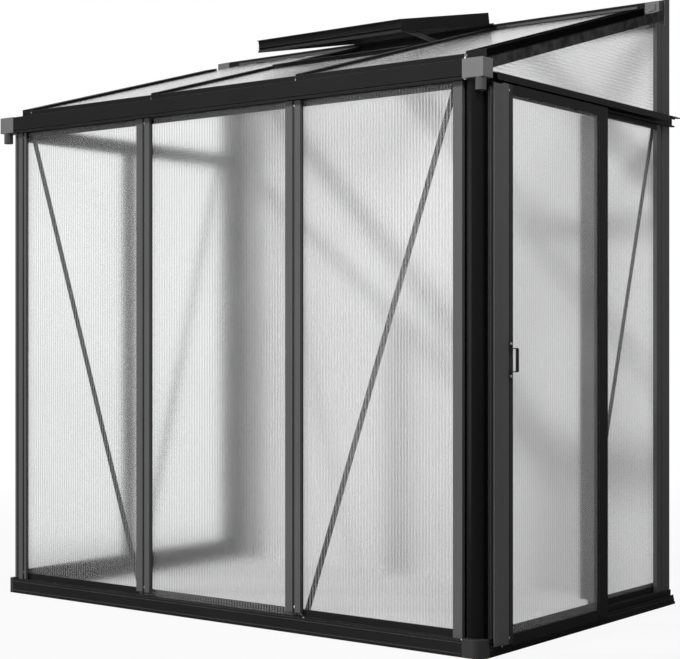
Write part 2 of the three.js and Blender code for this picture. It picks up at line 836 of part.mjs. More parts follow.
// Ridge against the wall, with moulded ends
function makeRidge() {
  const front = ridgeFront;
  const bottom = ridgeFrontTop - ridgeFrontHeight;
  const foot = ridgeBackTop - ridgeBackHeight;
  const section = [
    [front, bottom], [front + ridgeLedge, bottom], [front + ridgeLedge, bottom + skin],
    [front + skin, bottom + skin], [front + skin, ridgeFrontTop - skin],
    [depth - skin, ridgeBackTop - skin], [depth - skin, foot], [depth, foot],
    [depth, ridgeBackTop], [front, ridgeFrontTop],
  ];
  const end = frontLength - ridgeCapInset;
  const bead = rod(hingeBead, 'x', ventLeft, ventLeft + ventWidth, hingeY, hingeHeight);
  const arm = block(
    ventLeft, ventLeft + ventWidth, hingeY, front + skin, hingeHeight - skin / 2, hingeHeight + skin / 2,
  );
  piece('ridge', joined(run(section, 'x', fit, end - ridgeCapRight - fit), bead, arm), coated());

  const cap = [[front, bottom], [depth, foot], [depth, ridgeBackTop], [front, ridgeFrontTop]];
  piece('ridge_cap_left', run(cap, 'x', -ridgeCapLeft, 0), moulded());
  const badgeInset = (ridgeCapRight - ridgeBadge) / 2;
  const badgeFoot = bottom + (ridgeFrontHeight - ridgeBadge) / 2;
  const badge = block(
    end - ridgeCapRight + badgeInset, end - badgeInset, front - ridgeBadgeRelief, front + skin,
    badgeFoot, badgeFoot + ridgeBadge,
  );
  piece('ridge_cap_right', joined(run(cap, 'x', end - ridgeCapRight, end), badge), moulded());
}

// Cross rail under the vent's front edge, on the head of the middle roof sheet
function makeSill() {
  const half = roofBarWidth / 2;
  const back = sillStart + sillWidth;
  const outline = [
    [sillStart, -roofCapDepth], [sillStart + skin, -roofCapDepth],
    [sillStart + skin, sillRise - skin], [back - skin, sillRise - skin], [back - skin, roofSheetUnder],
    [back, roofSheetUnder], [back, sillRise], [sillStart, sillRise],
  ].map(([y, n]) => [y, roofTop(y) + n * steep]);
  piece('vent_sill', run(
    outline, 'x', firstRoofBarX + half + fit, firstRoofBarX + roofPitch - half - fit,
  ), coated());
}

// Twin-wall sheets of the front and the roof
function makeFrontSheets() {
  const stem = stemThickness / 2 + fit;
  const lastBar = firstBarX + bayPitch;
  const edges = [
    [leftCornerWall + fit, firstBarX - stem],
    [firstBarX + stem, lastBar - stem],
    [lastBar + stem, frontLength - cornerNear - skin - fit],
  ];
  edges.forEach(([from, to], i) => {
    piece(`front_sheet_${i + 1}`, block(from, to, sheetFront, sheetBack, sheetFoot, barTop), glazing());
  });
}

function makeRoofSheets() {
  const stem = stemThickness / 2 + fit;
  const lastBar = firstRoofBarX + roofPitch;
  const web = vergeShelf - skin - fit;
  const edges = [
    [leftVergeWidth - web, firstRoofBarX - stem, ridgeFront - fit],
    [firstRoofBarX + stem, lastBar - stem, sillStart + sillWidth - skin - fit],
    [lastBar + stem, frontLength - rightVergeWidth + web, ridgeFront - fit],
  ];
  edges.forEach(([from, to, end], i) => {
    const section = [
      [from, roofSheetUnder], [to, roofSheetUnder], [to, roofSheetTop], [from, roofSheetTop],
    ];
    piece(`roof_sheet_${i + 1}`, runUpRoof(section, roofSheetStart, end), glazing());
  });
}

// Sheets of a gable: panels below the rail and a triangle above it
function makeGableSheets() {
  const stem = stemThickness / 2 + fit;
  const panelTop = gableRailStem - stem;
  const back = wallPostStart + wallPostFlange - skin - fit;
  const panel = (x0, x1, from, to) => block(x0, x1, from, to, sheetFoot, panelTop);
  const start = flangeBack + fit;
  piece('gable_sheet_left_1', panel(sheetFront, sheetBack, start, leftBarY - stem), glazing());
  piece('gable_sheet_left_2', panel(sheetFront, sheetBack, leftBarY + stem, back), glazing());
  const near = frontLength - sheetBack;
  const far = frontLength - sheetFront;
  piece('gable_sheet_right', panel(near, far, rightBarY + stem, back), glazing());

  const triangleStart = gutterBack + roofLedge + fit;
  const top = (y) => roofTop(y) - triangleTuck * steep;
  const triangle = [
    [triangleStart, gableRailStem + stem], [back, gableRailStem + stem],
    [back, top(back)], [triangleStart, top(triangleStart)],
  ];
  piece('triangle_sheet_left', run(triangle, 'x', sheetFront, sheetBack), glazing());
  piece('triangle_sheet_right', run(triangle, 'x', near, far), glazing());
}

// Outline of a flat brace from one point of a wall to another, cut square across
function braceOutline(from, to) {
  const start = new THREE.Vector2(...from);
  const end = new THREE.Vector2(...to);
  const along = end.clone().sub(start).normalize();
  const side = new THREE.Vector2(-along.y, along.x).multiplyScalar(braceWidth / 2);
  const corners = [
    start.clone().sub(side), end.clone().sub(side), end.clone().add(side), start.clone().add(side),
  ];
  return corners.map((point) => [point.x, point.y]);
}

function makeBraces() {
  const lastBar = firstBarX + bayPitch;
  const frontHead = gutterUnderside - braceEndInset;
  const frontFoot = baseHeight + braceEndInset;
  const front = (outline) => run(outline, 'y', braceFront, braceBack);
  piece('brace_front_left', front(braceOutline(
    [leftCornerLength + leftBraceHeadGap, frontHead], [firstBarX - braceFootGap, frontFoot],
  )), coated());
  piece('brace_front_right', front(braceOutline(
    [lastBar + braceFootGap, frontFoot], [frontLength - cornerFar - braceHeadGap, frontHead],
  )), coated());

  const gableHead = gableRailStem - stemThickness - braceEndInset;
  piece('brace_gable_left', run(braceOutline(
    [leftBarY + flangeHalf + braceFootGap, baseHeight + braceEndInset],
    [wallPostStart - gableBraceSetBack, gableHead],
  ), 'x', braceFront, braceBack), coated());
  piece('brace_gable_right', run(braceOutline(
    [rightBarY + flangeHalf, rightBraceFoot],
    [wallPostStart + wallPostFlange / 2, gableHead],
  ), 'x', frontLength - braceBack, frontLength - braceFront), coated());
}

// Roof vent: a frame of open channels, its sheet, and the hook that turns on the hinge bead
function makeVent() {
  const right = ventLeft + ventWidth;
  const tip = -ventLength;
  const face = tip + ventFin;
  const railBack = face + ventRail;
  const top = ventHeight;
  const foot = ventUnder;
  const middle = foot + ventLowerTier;
  const front = [
    [tip, foot], [railBack, foot], [railBack, foot + skin], [tip + 2 * skin, foot + skin],
    [face + skin, middle], [face + skin, top - skin], [railBack, top - skin], [railBack, top],
    [tip, top], [tip, top - skin], [face, top - skin], [face, middle + skin], [tip, middle + skin],
    [tip, middle], [face, middle], [tip, foot + skin],
  ];
  const endPlate = (x) => block(x, x + skin, face, railBack, foot, top);
  piece('vent_rail_front', joined(
    run(front, 'x', ventLeft, right), endPlate(ventLeft), endPlate(right - skin),
  ), coated(), vent);

  const sideSection = [
    [ventLeft, foot], [ventLeft + ventRail, foot], [ventLeft + ventRail, foot + skin],
    [ventLeft + skin, foot + skin], [ventLeft + skin, top - skin],
    [ventLeft + ventRail, top - skin], [ventLeft + ventRail, top], [ventLeft, top],
  ];
  const sideStart = railBack + fit;
  const sideEnd = -ventBackLength - fit;
  const pin = rod(
    pinRadius, 'x', stayX - stayThickness / 2 - pinEnd, right - skin / 2, -stayPivot, stayPivotLift,
  );
  const other = mirrored(sideSection, ventLeft + ventWidth / 2);
  piece('vent_rail_left', run(sideSection, 'y', sideStart, sideEnd), coated(), vent);
  piece('vent_rail_right', joined(run(other, 'y', sideStart, sideEnd), pin), coated(), vent);

  const inner = hingeBead + hingePlay;
  const outer = inner + skin;
  const hook = [];
  const lining = [];
  for (let i = 0; i <= hookSteps; i += 1) {
    const angle = hookStart + ((hookEnd - hookStart) * i) / hookSteps;
    hook.push([outer * Math.cos(angle), outer * Math.sin(angle)]);
    lining.push([inner * Math.cos(angle), inner * Math.sin(angle)]);
  }
  const backWall = skin - ventBackLength;
  piece('vent_rail_hinge', joined(
    run([...hook, ...lining.reverse()], 'x', ventLeft, right),
    block(ventLeft, right, -ventBackLength, -inner - skin / 2, foot, foot + skin),
    block(ventLeft, right, -ventBackLength, backWall, foot, top),
    block(
      ventLeft + ventRail + fit, right - ventRail - fit, -ventBackLength - ventRail, backWall,
      top - skin, top,
    ),
  ), coated(), vent);

  const sheetTop = top - skin - fit;
  piece('vent_sheet', block(
    ventLeft + skin + fit, right - skin - fit, face + skin + fit, -ventBackLength - fit,
    sheetTop - sheetThickness, sheetTop,
  ), glazing(), vent);
}

// Perforated stay that hangs from the vent's right rail and drops over the peg on the roof bar
function makeStay() {
  const half = stayWidth / 2;
  const outline = [];
  for (let i = 0; i <= arcSteps; i += 1) {
    const angle = -Math.PI / 2 + (Math.PI * i) / arcSteps;
    outline.push([stayLength + half * Math.cos(angle), half * Math.sin(angle)]);
  }
  for (let i = 0; i <= arcSteps; i += 1) {
    const angle = Math.PI / 2 + (Math.PI * i) / arcSteps;
    outline.push([half * Math.cos(angle), half * Math.sin(angle)]);
  }
  const places = [0];
  for (let i = 0; i < stayHoleCount; i += 1) {
    places.push(stayLength - stayHoleInset - i * stayHolePitch);
  }
  const holes = places.map((y) => new THREE.Path().absarc(y, 0, stayHole, 0, 2 * Math.PI, true));
  const mesh = piece(
    'vent_stay', run(outline, 'x', -stayThickness / 2, stayThickness / 2, holes), steel(), vent,
  );
  mesh.position.set(stayX, -stayPivot, stayPivotLift);
  mesh.rotation.x = -stayAngle;
}

// Sliding door: stiles, rails, sheet and handle
function stile(face, lip) {
  const groove = face + stileGroove;
  const end = groove + lip;
  const lipFront = doorFace - lipSetBack;
  const floor = doorFace - stileGrooveDepth;
  return [
    [doorBack, 0], [doorFace, 0], [doorFace, face], [floor, face], [floor, groove],
    [lipFront, groove], [lipFront, end], [lipBack, end], [lipBack, groove + skin],
    [floor - skin, groove + skin], [floor - skin, face - skin], [doorFace - skin, face - skin],
    [doorFace - skin, skin], [doorBack, skin],
  ];
}

function makeDoor() {
  const lead = stile(leadFace, leadLip);
  const trailEnd = doorEnd - trailSeal;
  const sealBack = doorFace - lipSetBack;
  const lapStart = trailEnd - trailFace - trailLap;
  const trail = [
    [doorBack, trailEnd], [doorBack, trailEnd - skin], [doorFace - skin, trailEnd - skin],
    [doorFace - skin, trailEnd - trailFace], [lipBack, trailEnd - trailFace], [lipBack, lapStart],
    [lipBack + skin, lapStart], [lipBack + skin, trailEnd - trailFace - trailGroove],
    [doorFace, trailEnd - trailFace - trailGroove], [doorFace, trailEnd],
  ];
  piece('door_stile_front', run(shifted(lead, 0, doorStart), 'z', stileFoot, doorTop), coated(barColor));
  piece('door_stile_rear', joined(
    run(trail, 'z', stileFoot, doorTop),
    block(sealBack - skin, sealBack, trailEnd - skin, doorEnd, stileFoot, doorTop),
  ), coated(barColor));

  const from = doorStart + leadFace + stileGroove + leadLip + fit;
  const to = lapStart - fit;
  const topFoot = doorTop - doorTopRail;
  const bottomHead = doorBottom + doorBottomRail;
  const channel = (low, high) => [
    [doorBack, low], [doorFace, low], [doorFace, high], [doorBack, high], [doorBack, high - skin],
    [doorFace - skin, high - skin], [doorFace - skin, low + skin], [doorBack, low + skin],
  ];
  const flange = (low, high) => block(doorBack, doorBack + doorFlangeThickness, from, to, low, high);
  const rollerYs = [doorStart + rollerInset, doorEnd - rollerInset];
  const hangerX = rollerX + rollerNeckWidth / 2 + rollerFlange + axleBore + fit;
  const headEnd = rollerX - rollerNeckWidth / 2 - rollerFlange - fit;
  const hangers = rollerYs.flatMap((y) => [
    block(
      hangerX, hangerX + hangerThickness, y - hangerWidth / 2, y + hangerWidth / 2,
      doorTop - skin, rollerZ + hangerTop,
    ),
    rod(axleRadius, 'x', headEnd, hangerX + skin, y, rollerZ),
    rod(axleHead, 'x', frontLength + fit + skin + fit, headEnd, y, rollerZ),
  ]);
  piece('door_rail_top', joined(
    run(channel(topFoot, doorTop), 'y', from, to),
    flange(topFoot - doorTopFlange, topFoot + skin), ...hangers,
  ), coated());

  const lipTop = guideHeight + guideLip;
  const skidInner = baseOuterRight - 2 * skin - skidPlay;
  const skids = rollerYs.flatMap((y) => [
    block(
      skidInner - skin, doorFace - skin / 2, y - hangerWidth / 2, y + hangerWidth / 2,
      lipTop + skidPlay, lipTop + skidPlay + skin,
    ),
    block(
      skidInner - skin, skidInner, y - hangerWidth / 2, y + hangerWidth / 2,
      lipTop - skidDrop, lipTop + skidPlay + skin,
    ),
  ]);
  piece('door_rail_bottom', joined(
    run(channel(doorBottom, bottomHead), 'y', from, to),
    flange(bottomHead - skin, bottomHead + doorBottomFlange), ...skids,
  ), coated());

  const sheetEdge = doorStart + leadFace + stileGroove + skin + fit;
  const sheetEnd = trailEnd - trailFace + trailGroove;
  piece('door_sheet', block(
    lipBack - fit - sheetThickness, lipBack - fit, sheetEdge, sheetEnd, bottomHead + fit, topFoot - fit,
  ), glazing());
  makeHandle();
  makeRollers(rollerYs);
}

// Pull handle bent from a flat bar, bolted over the leading stile's groove
function makeHandle() {
  const low = handleZ + handleFoot;
  const high = handleZ + handleHeight - handleFoot;
  const near = doorFace + fit;
  const far = doorFace + handleStandOff;
  const inset = handleThickness;
  const round = (x, z, radius, from) => {
    const points = [];
    for (let i = 0; i <= handleSteps; i += 1) {
      const angle = from + (i / handleSteps) * (Math.PI / 2);
      points.push([x + radius * Math.cos(angle), z + radius * Math.sin(angle)]);
    }
    return points;
  };
  const bend = far - handleBend;
  const tight = handleBend - inset;
  const outline = [
    [near, handleZ], [near + inset, handleZ], [near + inset, low],
    ...round(bend, low + handleBend, handleBend, -Math.PI / 2),
    ...round(bend, high - handleBend, handleBend, 0),
    [near + inset, high], [near + inset, handleZ + handleHeight], [near, handleZ + handleHeight],
    [near, high - inset],
    ...round(bend, high - handleBend, tight, 0).reverse(),
    ...round(bend, low + handleBend, tight, -Math.PI / 2).reverse(),
    [near, low + inset],
  ];
  const middle = doorStart + leadFace + stileGroove / 2;
  const half = handleWidth / 2;
  piece('door_handle', run(outline, 'y', middle - half, middle + half), coated());
}

// Grooved rollers that run on the track's lip
function makeRollers(rollerYs) {
  const half = rollerNeckWidth / 2;
  const edge = half + rollerFlange;
  const profile = [
    [axleBore, -edge], [rollerRadius, -edge], [rollerRadius, -half], [rollerNeck, -half],
    [rollerNeck, half], [rollerRadius, half], [rollerRadius, edge], [axleBore, edge], [axleBore, -edge],
  ].map(([r, x]) => new THREE.Vector2(r, x));
  rollerYs.forEach((y, i) => {
    const wheel = new THREE.LatheGeometry(profile, roundSides);
    wheel.rotateZ(-Math.PI / 2);
    const mesh = piece(`door_roller_${i + 1}`, wheel, moulded());
    mesh.position.set(rollerX, y, rollerZ);
  });
}

// Track over the door: wall flange, hood and the runner's lip
function makeTrack() {
  const wall = frontLength + fit;
  const outer = frontLength + hoodReach;
  const bottom = hoodTop - hoodDrop;
  const lipX = wall + runnerReach;
  const section = [
    [wall, runnerBase], [lipX, runnerBase], [lipX, runnerBase + skin + runnerLip],
    [lipX - skin, runnerBase + skin + runnerLip], [lipX - skin, runnerBase + skin],
    [wall + skin, runnerBase + skin], [wall + skin, hoodTop - skin],
    [outer - skin, hoodTop - hoodFall - skin], [outer - skin, bottom], [outer, bottom],
    [outer, hoodTop - hoodFall], [wall, hoodTop],
  ];
  const tailEnd = depth + hoodTail + overrun;
  const tailFoot = runnerBase - overrun;
  piece('door_track', cut(
    run(section, 'y', hoodStart, depth + hoodTail),
    block(
      lipX + fit, outer + overrun, depth - hoodSideEnd, tailEnd, tailFoot, hoodTop - hoodFall - skin,
    ),
    block(wall - overrun, outer + overrun, depth + runnerTail, tailEnd, tailFoot, hoodTop - hoodFall - skin),
  ), coated());

  // Jamb: a web against the door's leading edge, with a wall flange and a leg flush with the door
  const jambEnd = doorStart - jambGap;
  const jamb = [
    [wall, jambEnd - jambFlange], [wall + skin, jambEnd - jambFlange], [wall + skin, jambEnd - skin],
    [doorFace - skin, jambEnd - skin], [doorFace - skin, jambStart], [doorFace, jambStart],
    [doorFace, jambEnd], [wall, jambEnd],
  ];
  piece('door_jamb', cut(
    run(jamb, 'z', guideHeight + guideLip + fit, runnerBase - fit),
    block(
      wall - overrun, baseOuterRight + fit, jambStart - overrun, jambEnd + overrun,
      guideHeight, baseHeight + fit,
    ),
  ), coated(barColor));
}

makeFrontRail();
makeSideRails();
makeBaseCaps();
makeFrontBars();
makeGableBars();
makeLeftCorner();
makeRightCorner();
makeWallPosts();
makeGableRails();
makeGutter();
makeRoofBars();
makeVerges();
makeRidge();
makeSill();
makeFrontSheets();
makeRoofSheets();
makeGableSheets();
makeBraces();
makeVent();
makeStay();
makeTrack();
makeDoor();

// The finished house stands with the middle of its footprint at the origin
const bounds = new THREE.Box3().setFromObject(group, true);
const middle = bounds.getCenter(new THREE.Vector3());
house.position.set(-middle.x, -middle.y, -bounds.min.z);

export default group;
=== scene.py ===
import json
import math

import bpy
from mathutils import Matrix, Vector


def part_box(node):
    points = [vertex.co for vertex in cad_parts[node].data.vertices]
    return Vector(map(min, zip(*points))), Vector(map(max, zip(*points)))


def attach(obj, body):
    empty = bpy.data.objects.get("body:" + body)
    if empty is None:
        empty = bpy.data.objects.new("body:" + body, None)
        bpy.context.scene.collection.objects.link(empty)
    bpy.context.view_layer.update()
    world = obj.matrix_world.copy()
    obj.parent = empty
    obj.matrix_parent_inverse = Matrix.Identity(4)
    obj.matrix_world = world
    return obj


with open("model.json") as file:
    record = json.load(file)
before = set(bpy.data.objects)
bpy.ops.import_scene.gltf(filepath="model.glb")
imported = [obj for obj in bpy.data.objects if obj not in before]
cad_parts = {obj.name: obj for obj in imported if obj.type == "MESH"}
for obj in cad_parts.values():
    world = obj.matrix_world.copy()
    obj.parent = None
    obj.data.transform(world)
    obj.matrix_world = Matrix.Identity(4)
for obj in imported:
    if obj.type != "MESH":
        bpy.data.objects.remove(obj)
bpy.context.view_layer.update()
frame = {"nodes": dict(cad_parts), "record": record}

MM = 0.001
QUARTER = math.pi / 2

# The house's own planes and slopes, in metres
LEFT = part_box("wall_post_left")[0].x
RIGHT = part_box("wall_post_right")[1].x
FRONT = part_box("front_bar_1")[0].y
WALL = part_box("wall_post_left")[1].y
ROOF_DEGREES = 15.84
VENT_AJAR_DEGREES = 4.4
ROOF_RISE = math.tan(math.radians(ROOF_DEGREES))
VENT_RISE = math.tan(math.radians(ROOF_DEGREES - VENT_AJAR_DEGREES))
ROOF_TOP_AT_FRONT = 1621.3 * MM


def roof_top(y):
    """Height of the plane of the roof bars' tops."""
    return ROOF_TOP_AT_FRONT + (y - FRONT) * ROOF_RISE


# Shader maths
class Value:
    """A number, colour or vector that changes over a surface; its sums and products add nodes."""

    def __init__(self, finish, socket):
        self.finish = finish
        self.socket = socket

    def maths(self, operation, *values):
        inputs = dict(enumerate(values))
        return self.finish.node("ShaderNodeMath", {"operation": operation}, inputs)

    def __add__(self, other):
        return self.maths("ADD", self, other)

    def __sub__(self, other):
        return self.maths("SUBTRACT", self, other)

    def __rsub__(self, other):
        return self.maths("SUBTRACT", other, self)

    def __mul__(self, other):
        return self.maths("MULTIPLY", self, other)

    def __truediv__(self, other):
        return self.maths("DIVIDE", self, other)

    __radd__ = __add__
    __rmul__ = __mul__

    def between(self, low, high):
        """0 at low, 1 at high, and even between them."""
        settings = {"clamp": True}
        inputs = {"Value": self, "From Min": low, "From Max": high}
        return self.finish.node("ShaderNodeMapRange", settings, inputs)

    def fraction(self):
        return self.maths("FRACT", self)

    def size(self):
        return self.maths("ABSOLUTE", self)

    def along(self, axis):
        """One coordinate of a vector."""
        return self.finish.node("ShaderNodeSeparateXYZ", inputs={0: self}, output=axis)


class Finish:
    """One material and the nodes it is made of."""

    def __init__(self, name):
        self.material = bpy.data.materials.new(name)
        self.material.use_nodes = True
        self.tree = self.material.node_tree
        self.tree.nodes.clear()

    def node(self, kind, settings=None, inputs=None, output=0):
        made = self.tree.nodes.new(kind)
        for name, value in (settings or {}).items():
            setattr(made, name, value)
        for key, value in (inputs or {}).items():
            if isinstance(value, Value):
                self.tree.links.new(value.socket, made.inputs[key])
            else:
                made.inputs[key].default_value = value
        return Value(self, made.outputs[output]) if made.outputs else None

    def here(self):
        return self.node("ShaderNodeTexCoord", output="Object")

    def noise(self, scale, detail=2.0, roughness=0.5, stretch=(1.0, 1.0, 1.0)):
        at = self.node("ShaderNodeMapping", inputs={"Vector": self.here(), "Scale": stretch})
        inputs = {"Vector": at, "Scale": scale, "Detail": detail, "Roughness": roughness}
        return self.node("ShaderNodeTexNoise", inputs=inputs)

    def mixed(self, share, first, second):
        settings = {"data_type": "RGBA"}
        return self.node("ShaderNodeMix", settings, {0: share, 6: first, 7: second}, output=2)

    def shaders(self, share, first, second):
        return self.node("ShaderNodeMixShader", inputs={0: share, 1: first, 2: second})

    def bump(self, height, distance, strength, normal=None):
        inputs = {"Height": height, "Distance": distance, "Strength": strength}
        if normal is not None:
            inputs["Normal"] = normal
        return self.node("ShaderNodeBump", inputs=inputs)

    def eased(self, radius):
        """Normals as if the edges were rounded by that radius."""
        return self.node("ShaderNodeBevel", {"samples": 4}, {"Radius": radius})

    def edges(self, radius):
        """1 where an edge lies within that radius, fading away from it."""
        turned = self.eased(radius)
        flat = self.node("ShaderNodeNewGeometry", output="Normal")
        settings = {"operation": "DOT_PRODUCT"}
        same = self.node("ShaderNodeVectorMath", settings, {0: turned, 1: flat}, output=1)
        return (1.0 - same).between(0.015, 0.12)

    def ray(self, kind):
        """1 for rays of the kind named, else 0."""
        return self.node("ShaderNodeLightPath", output=kind)

    def principled(self, **inputs):
        named = {key.replace("_", " "): value for key, value in inputs.items()}
        return self.node("ShaderNodeBsdfPrincipled", inputs=named)

    def finished(self, shader):
        self.node("ShaderNodeOutputMaterial", inputs={"Surface": shader})
        return self.material


def grey(level):
    return (level, level, level, 1.0)


def tint(red, green, blue):
    return (red, green, blue, 1.0)


# Powder coats and their greys
BLACK_DARK = 0.013
BLACK_LIGHT = 0.016
BAR_DARK = 0.086
BAR_LIGHT = 0.096
BLACK_ROUGHNESS = 0.42
BAR_ROUGHNESS = 0.46
BLACK_SHINE = 0.02
BAR_SHINE = 0.03
DUST_GREY = 0.30
DUST_SHARE = 0.03
# Edges are lightened partly as painted highlight and partly as wear
EDGE_HIGHLIGHT_AND_WEAR_GREY = 0.17
EDGE_HIGHLIGHT_AND_WEAR_SHARE = 0.5
EDGE_HIGHLIGHT_AND_WEAR_REACH = 1.4 * MM


def coat(finish, base, roughness, shine, gloss=0.0):
    """Powder coat over a base colour: orange peel, edges lightened by painted highlight and wear, a
    little dust where it faces up.
    """
    cloud = finish.noise(scale=3.0, detail=3.0)
    peel = finish.noise(scale=650.0, detail=1.0)
    streak = finish.noise(scale=40.0, stretch=(1.0, 1.0, 0.05))
    upward = finish.node("ShaderNodeNewGeometry", output="Normal").along(2)
    dust = (upward * finish.noise(scale=55.0, detail=4.0)).between(0.3, 0.9) * DUST_SHARE
    # Lighter patches along the edges: painted edge highlight mixed with wear
    edge_highlight_and_wear_patches = finish.edges(EDGE_HIGHLIGHT_AND_WEAR_REACH) * finish.noise(scale=90.0, detail=3.0).between(0.25, 0.6)
    dusty = finish.mixed(dust, base, grey(DUST_GREY))
    colour = finish.mixed(edge_highlight_and_wear_patches * EDGE_HIGHLIGHT_AND_WEAR_SHARE, dusty, grey(EDGE_HIGHLIGHT_AND_WEAR_GREY))
    rough = cloud.between(0.2, 0.8) * 0.06 + streak * 0.05 + (roughness - 0.05) + dust
    normal = finish.bump(peel, distance=0.06 * MM, strength=0.5, normal=finish.eased(0.7 * MM))
    return finish.finished(finish.principled(
        Base_Color=colour, Roughness=rough, Normal=normal, Specular_IOR_Level=shine,
        Coat_Weight=gloss, Coat_Roughness=0.20))


def powder_coat(name, dark, light, roughness, shine):
    finish = Finish(name)
    cloud = finish.noise(scale=3.0, detail=3.0).between(0.3, 0.7)
    return coat(finish, finish.mixed(cloud, grey(dark), grey(light)), roughness, shine)


# The right corner post's steps, in millimetres from the house's corner
FLANGE_FROM = (56.2, 56.8)
BULGE_TO = (42.6, 42.0)
# The recesses' near-black grey is painted shade
RECESS_PAINTED_SHADE_GREY = 0.002
BULGE_GREY = 0.005
BULGE_GLOSS = 0.15
CORNER_ROUGHNESS = 0.40


def rounded_corner_coat_painted_shade():
    """The right corner post: its rounded corner is the darker coat, and its deep recesses are
    painted near-black as painted shade.
    """
    finish = Finish("corner_coat_and_painted_shade")
    at = finish.here()
    inward = (RIGHT - at.along(0)) * (1.0 / MM)
    back = (at.along(1) - FRONT) * (1.0 / MM)
    flange = inward.between(*FLANGE_FROM) + back.between(*FLANGE_FROM)
    bulge = inward.between(*BULGE_TO) * back.between(*BULGE_TO)
    # Painted shade in the recesses, and the rounded corner's own darker coat
    inner = finish.mixed(bulge, grey(RECESS_PAINTED_SHADE_GREY), grey(BULGE_GREY))
    base = finish.mixed(flange.between(0.2, 0.8), inner, grey(BAR_LIGHT))
    return coat(finish, base, CORNER_ROUGHNESS, shine=0.0, gloss=bulge * BULGE_GLOSS)


# Where the leading stile's face gives way to its groove, in millimetres from its front edge
STILE_FACE_TO = (25.3, 25.7)
# The groove's and lip's darker grey is painted shade
STILE_GROOVE_PAINTED_SHADE_GREY = 0.03


def stile_coat_painted_shade():
    """The leading stile: its groove and the lip beside the sheet are painted darker than its face,
    as painted shade.
    """
    finish = Finish("stile_painted_shade_finish")
    from_lead = (finish.here().along(1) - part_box("door_stile_front")[0].y) * (1.0 / MM)
    base = finish.mixed(from_lead.between(*STILE_FACE_TO), grey(BAR_LIGHT), grey(STILE_GROOVE_PAINTED_SHADE_GREY))
    return coat(finish, base, BAR_ROUGHNESS, BAR_SHINE)


# How far below its top the right verge's dark upper face ends, in millimetres
VERGE_TOP_TO = (22.9, 23.6)
VERGE_TOP_GREY = BLACK_DARK * 0.3
VERGE_COVER_DARK = BLACK_LIGHT * 1.6
VERGE_COVER_LIGHT = BAR_DARK * 0.8


def verge_coat():
    """The right verge: its upper face is darker than the cover strip below it."""
    finish = Finish("verge_coat_finish")
    at = finish.here()
    top = (at.along(1) - FRONT) * ROOF_RISE + ROOF_TOP_AT_FRONT
    below = (top - at.along(2)) * (1.0 / MM)
    mottle = finish.noise(scale=26.0, detail=4.0, roughness=0.6).between(0.35, 0.65)
    cover = finish.mixed(mottle, grey(VERGE_COVER_DARK), grey(VERGE_COVER_LIGHT))
    base = finish.mixed(below.between(*VERGE_TOP_TO), grey(VERGE_TOP_GREY), cover)
    return coat(finish, base, BLACK_ROUGHNESS, shine=0.0)


# Moulded plastic: its edges, lightened as painted highlight and wear, and how much darker the
# gutter ends' spouts are
PLASTIC_EDGE_HIGHLIGHT_AND_WEAR_GREY = 0.26
PLASTIC_EDGE_HIGHLIGHT_AND_WEAR_SHARE = 0.35
SPOUT_SHADE = 0.45
SPOUT_FADE = 0.5 * MM


def moulded_plastic(name, dark, light, spout_top=None):
    """Grained plastic; what lies below the spout's top is darker, if that height is given."""
    finish = Finish(name)
    cloud = finish.noise(scale=9.0, detail=3.0)
    grain = finish.noise(scale=1500.0)
    colour = finish.mixed(cloud.between(0.3, 0.7), grey(dark), grey(light))
    if spout_top is not None:
        above = finish.here().along(2).between(spout_top - SPOUT_FADE, spout_top)
        colour = finish.mixed(above, grey(dark * SPOUT_SHADE), colour)
    # Edges lightened all round: painted rim highlight mixed with wear
    rim_highlight_and_wear = finish.edges(EDGE_HIGHLIGHT_AND_WEAR_REACH) * PLASTIC_EDGE_HIGHLIGHT_AND_WEAR_SHARE
    colour = finish.mixed(rim_highlight_and_wear, colour, grey(PLASTIC_EDGE_HIGHLIGHT_AND_WEAR_GREY))
    rough = grain * 0.12 + 0.46
    normal = finish.bump(grain, distance=0.08 * MM, strength=0.6, normal=finish.eased(0.9 * MM))
    return finish.finished(finish.principled(
        Base_Color=colour, Roughness=rough, Normal=normal, Specular_IOR_Level=0.25))


def rubber():
    finish = Finish("black_rubber")
    grain = finish.noise(scale=900.0)
    colour = finish.mixed(grain, grey(0.008), grey(0.014))
    return finish.finished(finish.principled(
        Base_Color=colour, Roughness=grain * 0.1 + 0.6, Specular_IOR_Level=0.15,
        Normal=finish.bump(grain, distance=0.05 * MM, strength=0.5)))


# Twin-wall sheets: the flutes' spacing, their walls, the skins and how much light they pass, and
# the milky lines, which start at this share of the spacing from a flute's middle
FLUTE = 10.6 * MM
WEB_THICKNESS = 0.7 * MM
SKIN = 0.6 * MM
WEB_PINCH = 0.15 * MM
SKIN_ROUGHNESS = 0.18
SKIN_ROUGHNESS_SPREAD = 0.03
SKIN_SHADOW = 0.93
MILK_FROM = (0.29, 0.35)
MILK_SHARE = 0.17
HAZE_SHARE = 0.004
WEB_SHARE = 0.03
WEB_GLOW_SHARE = 0.75


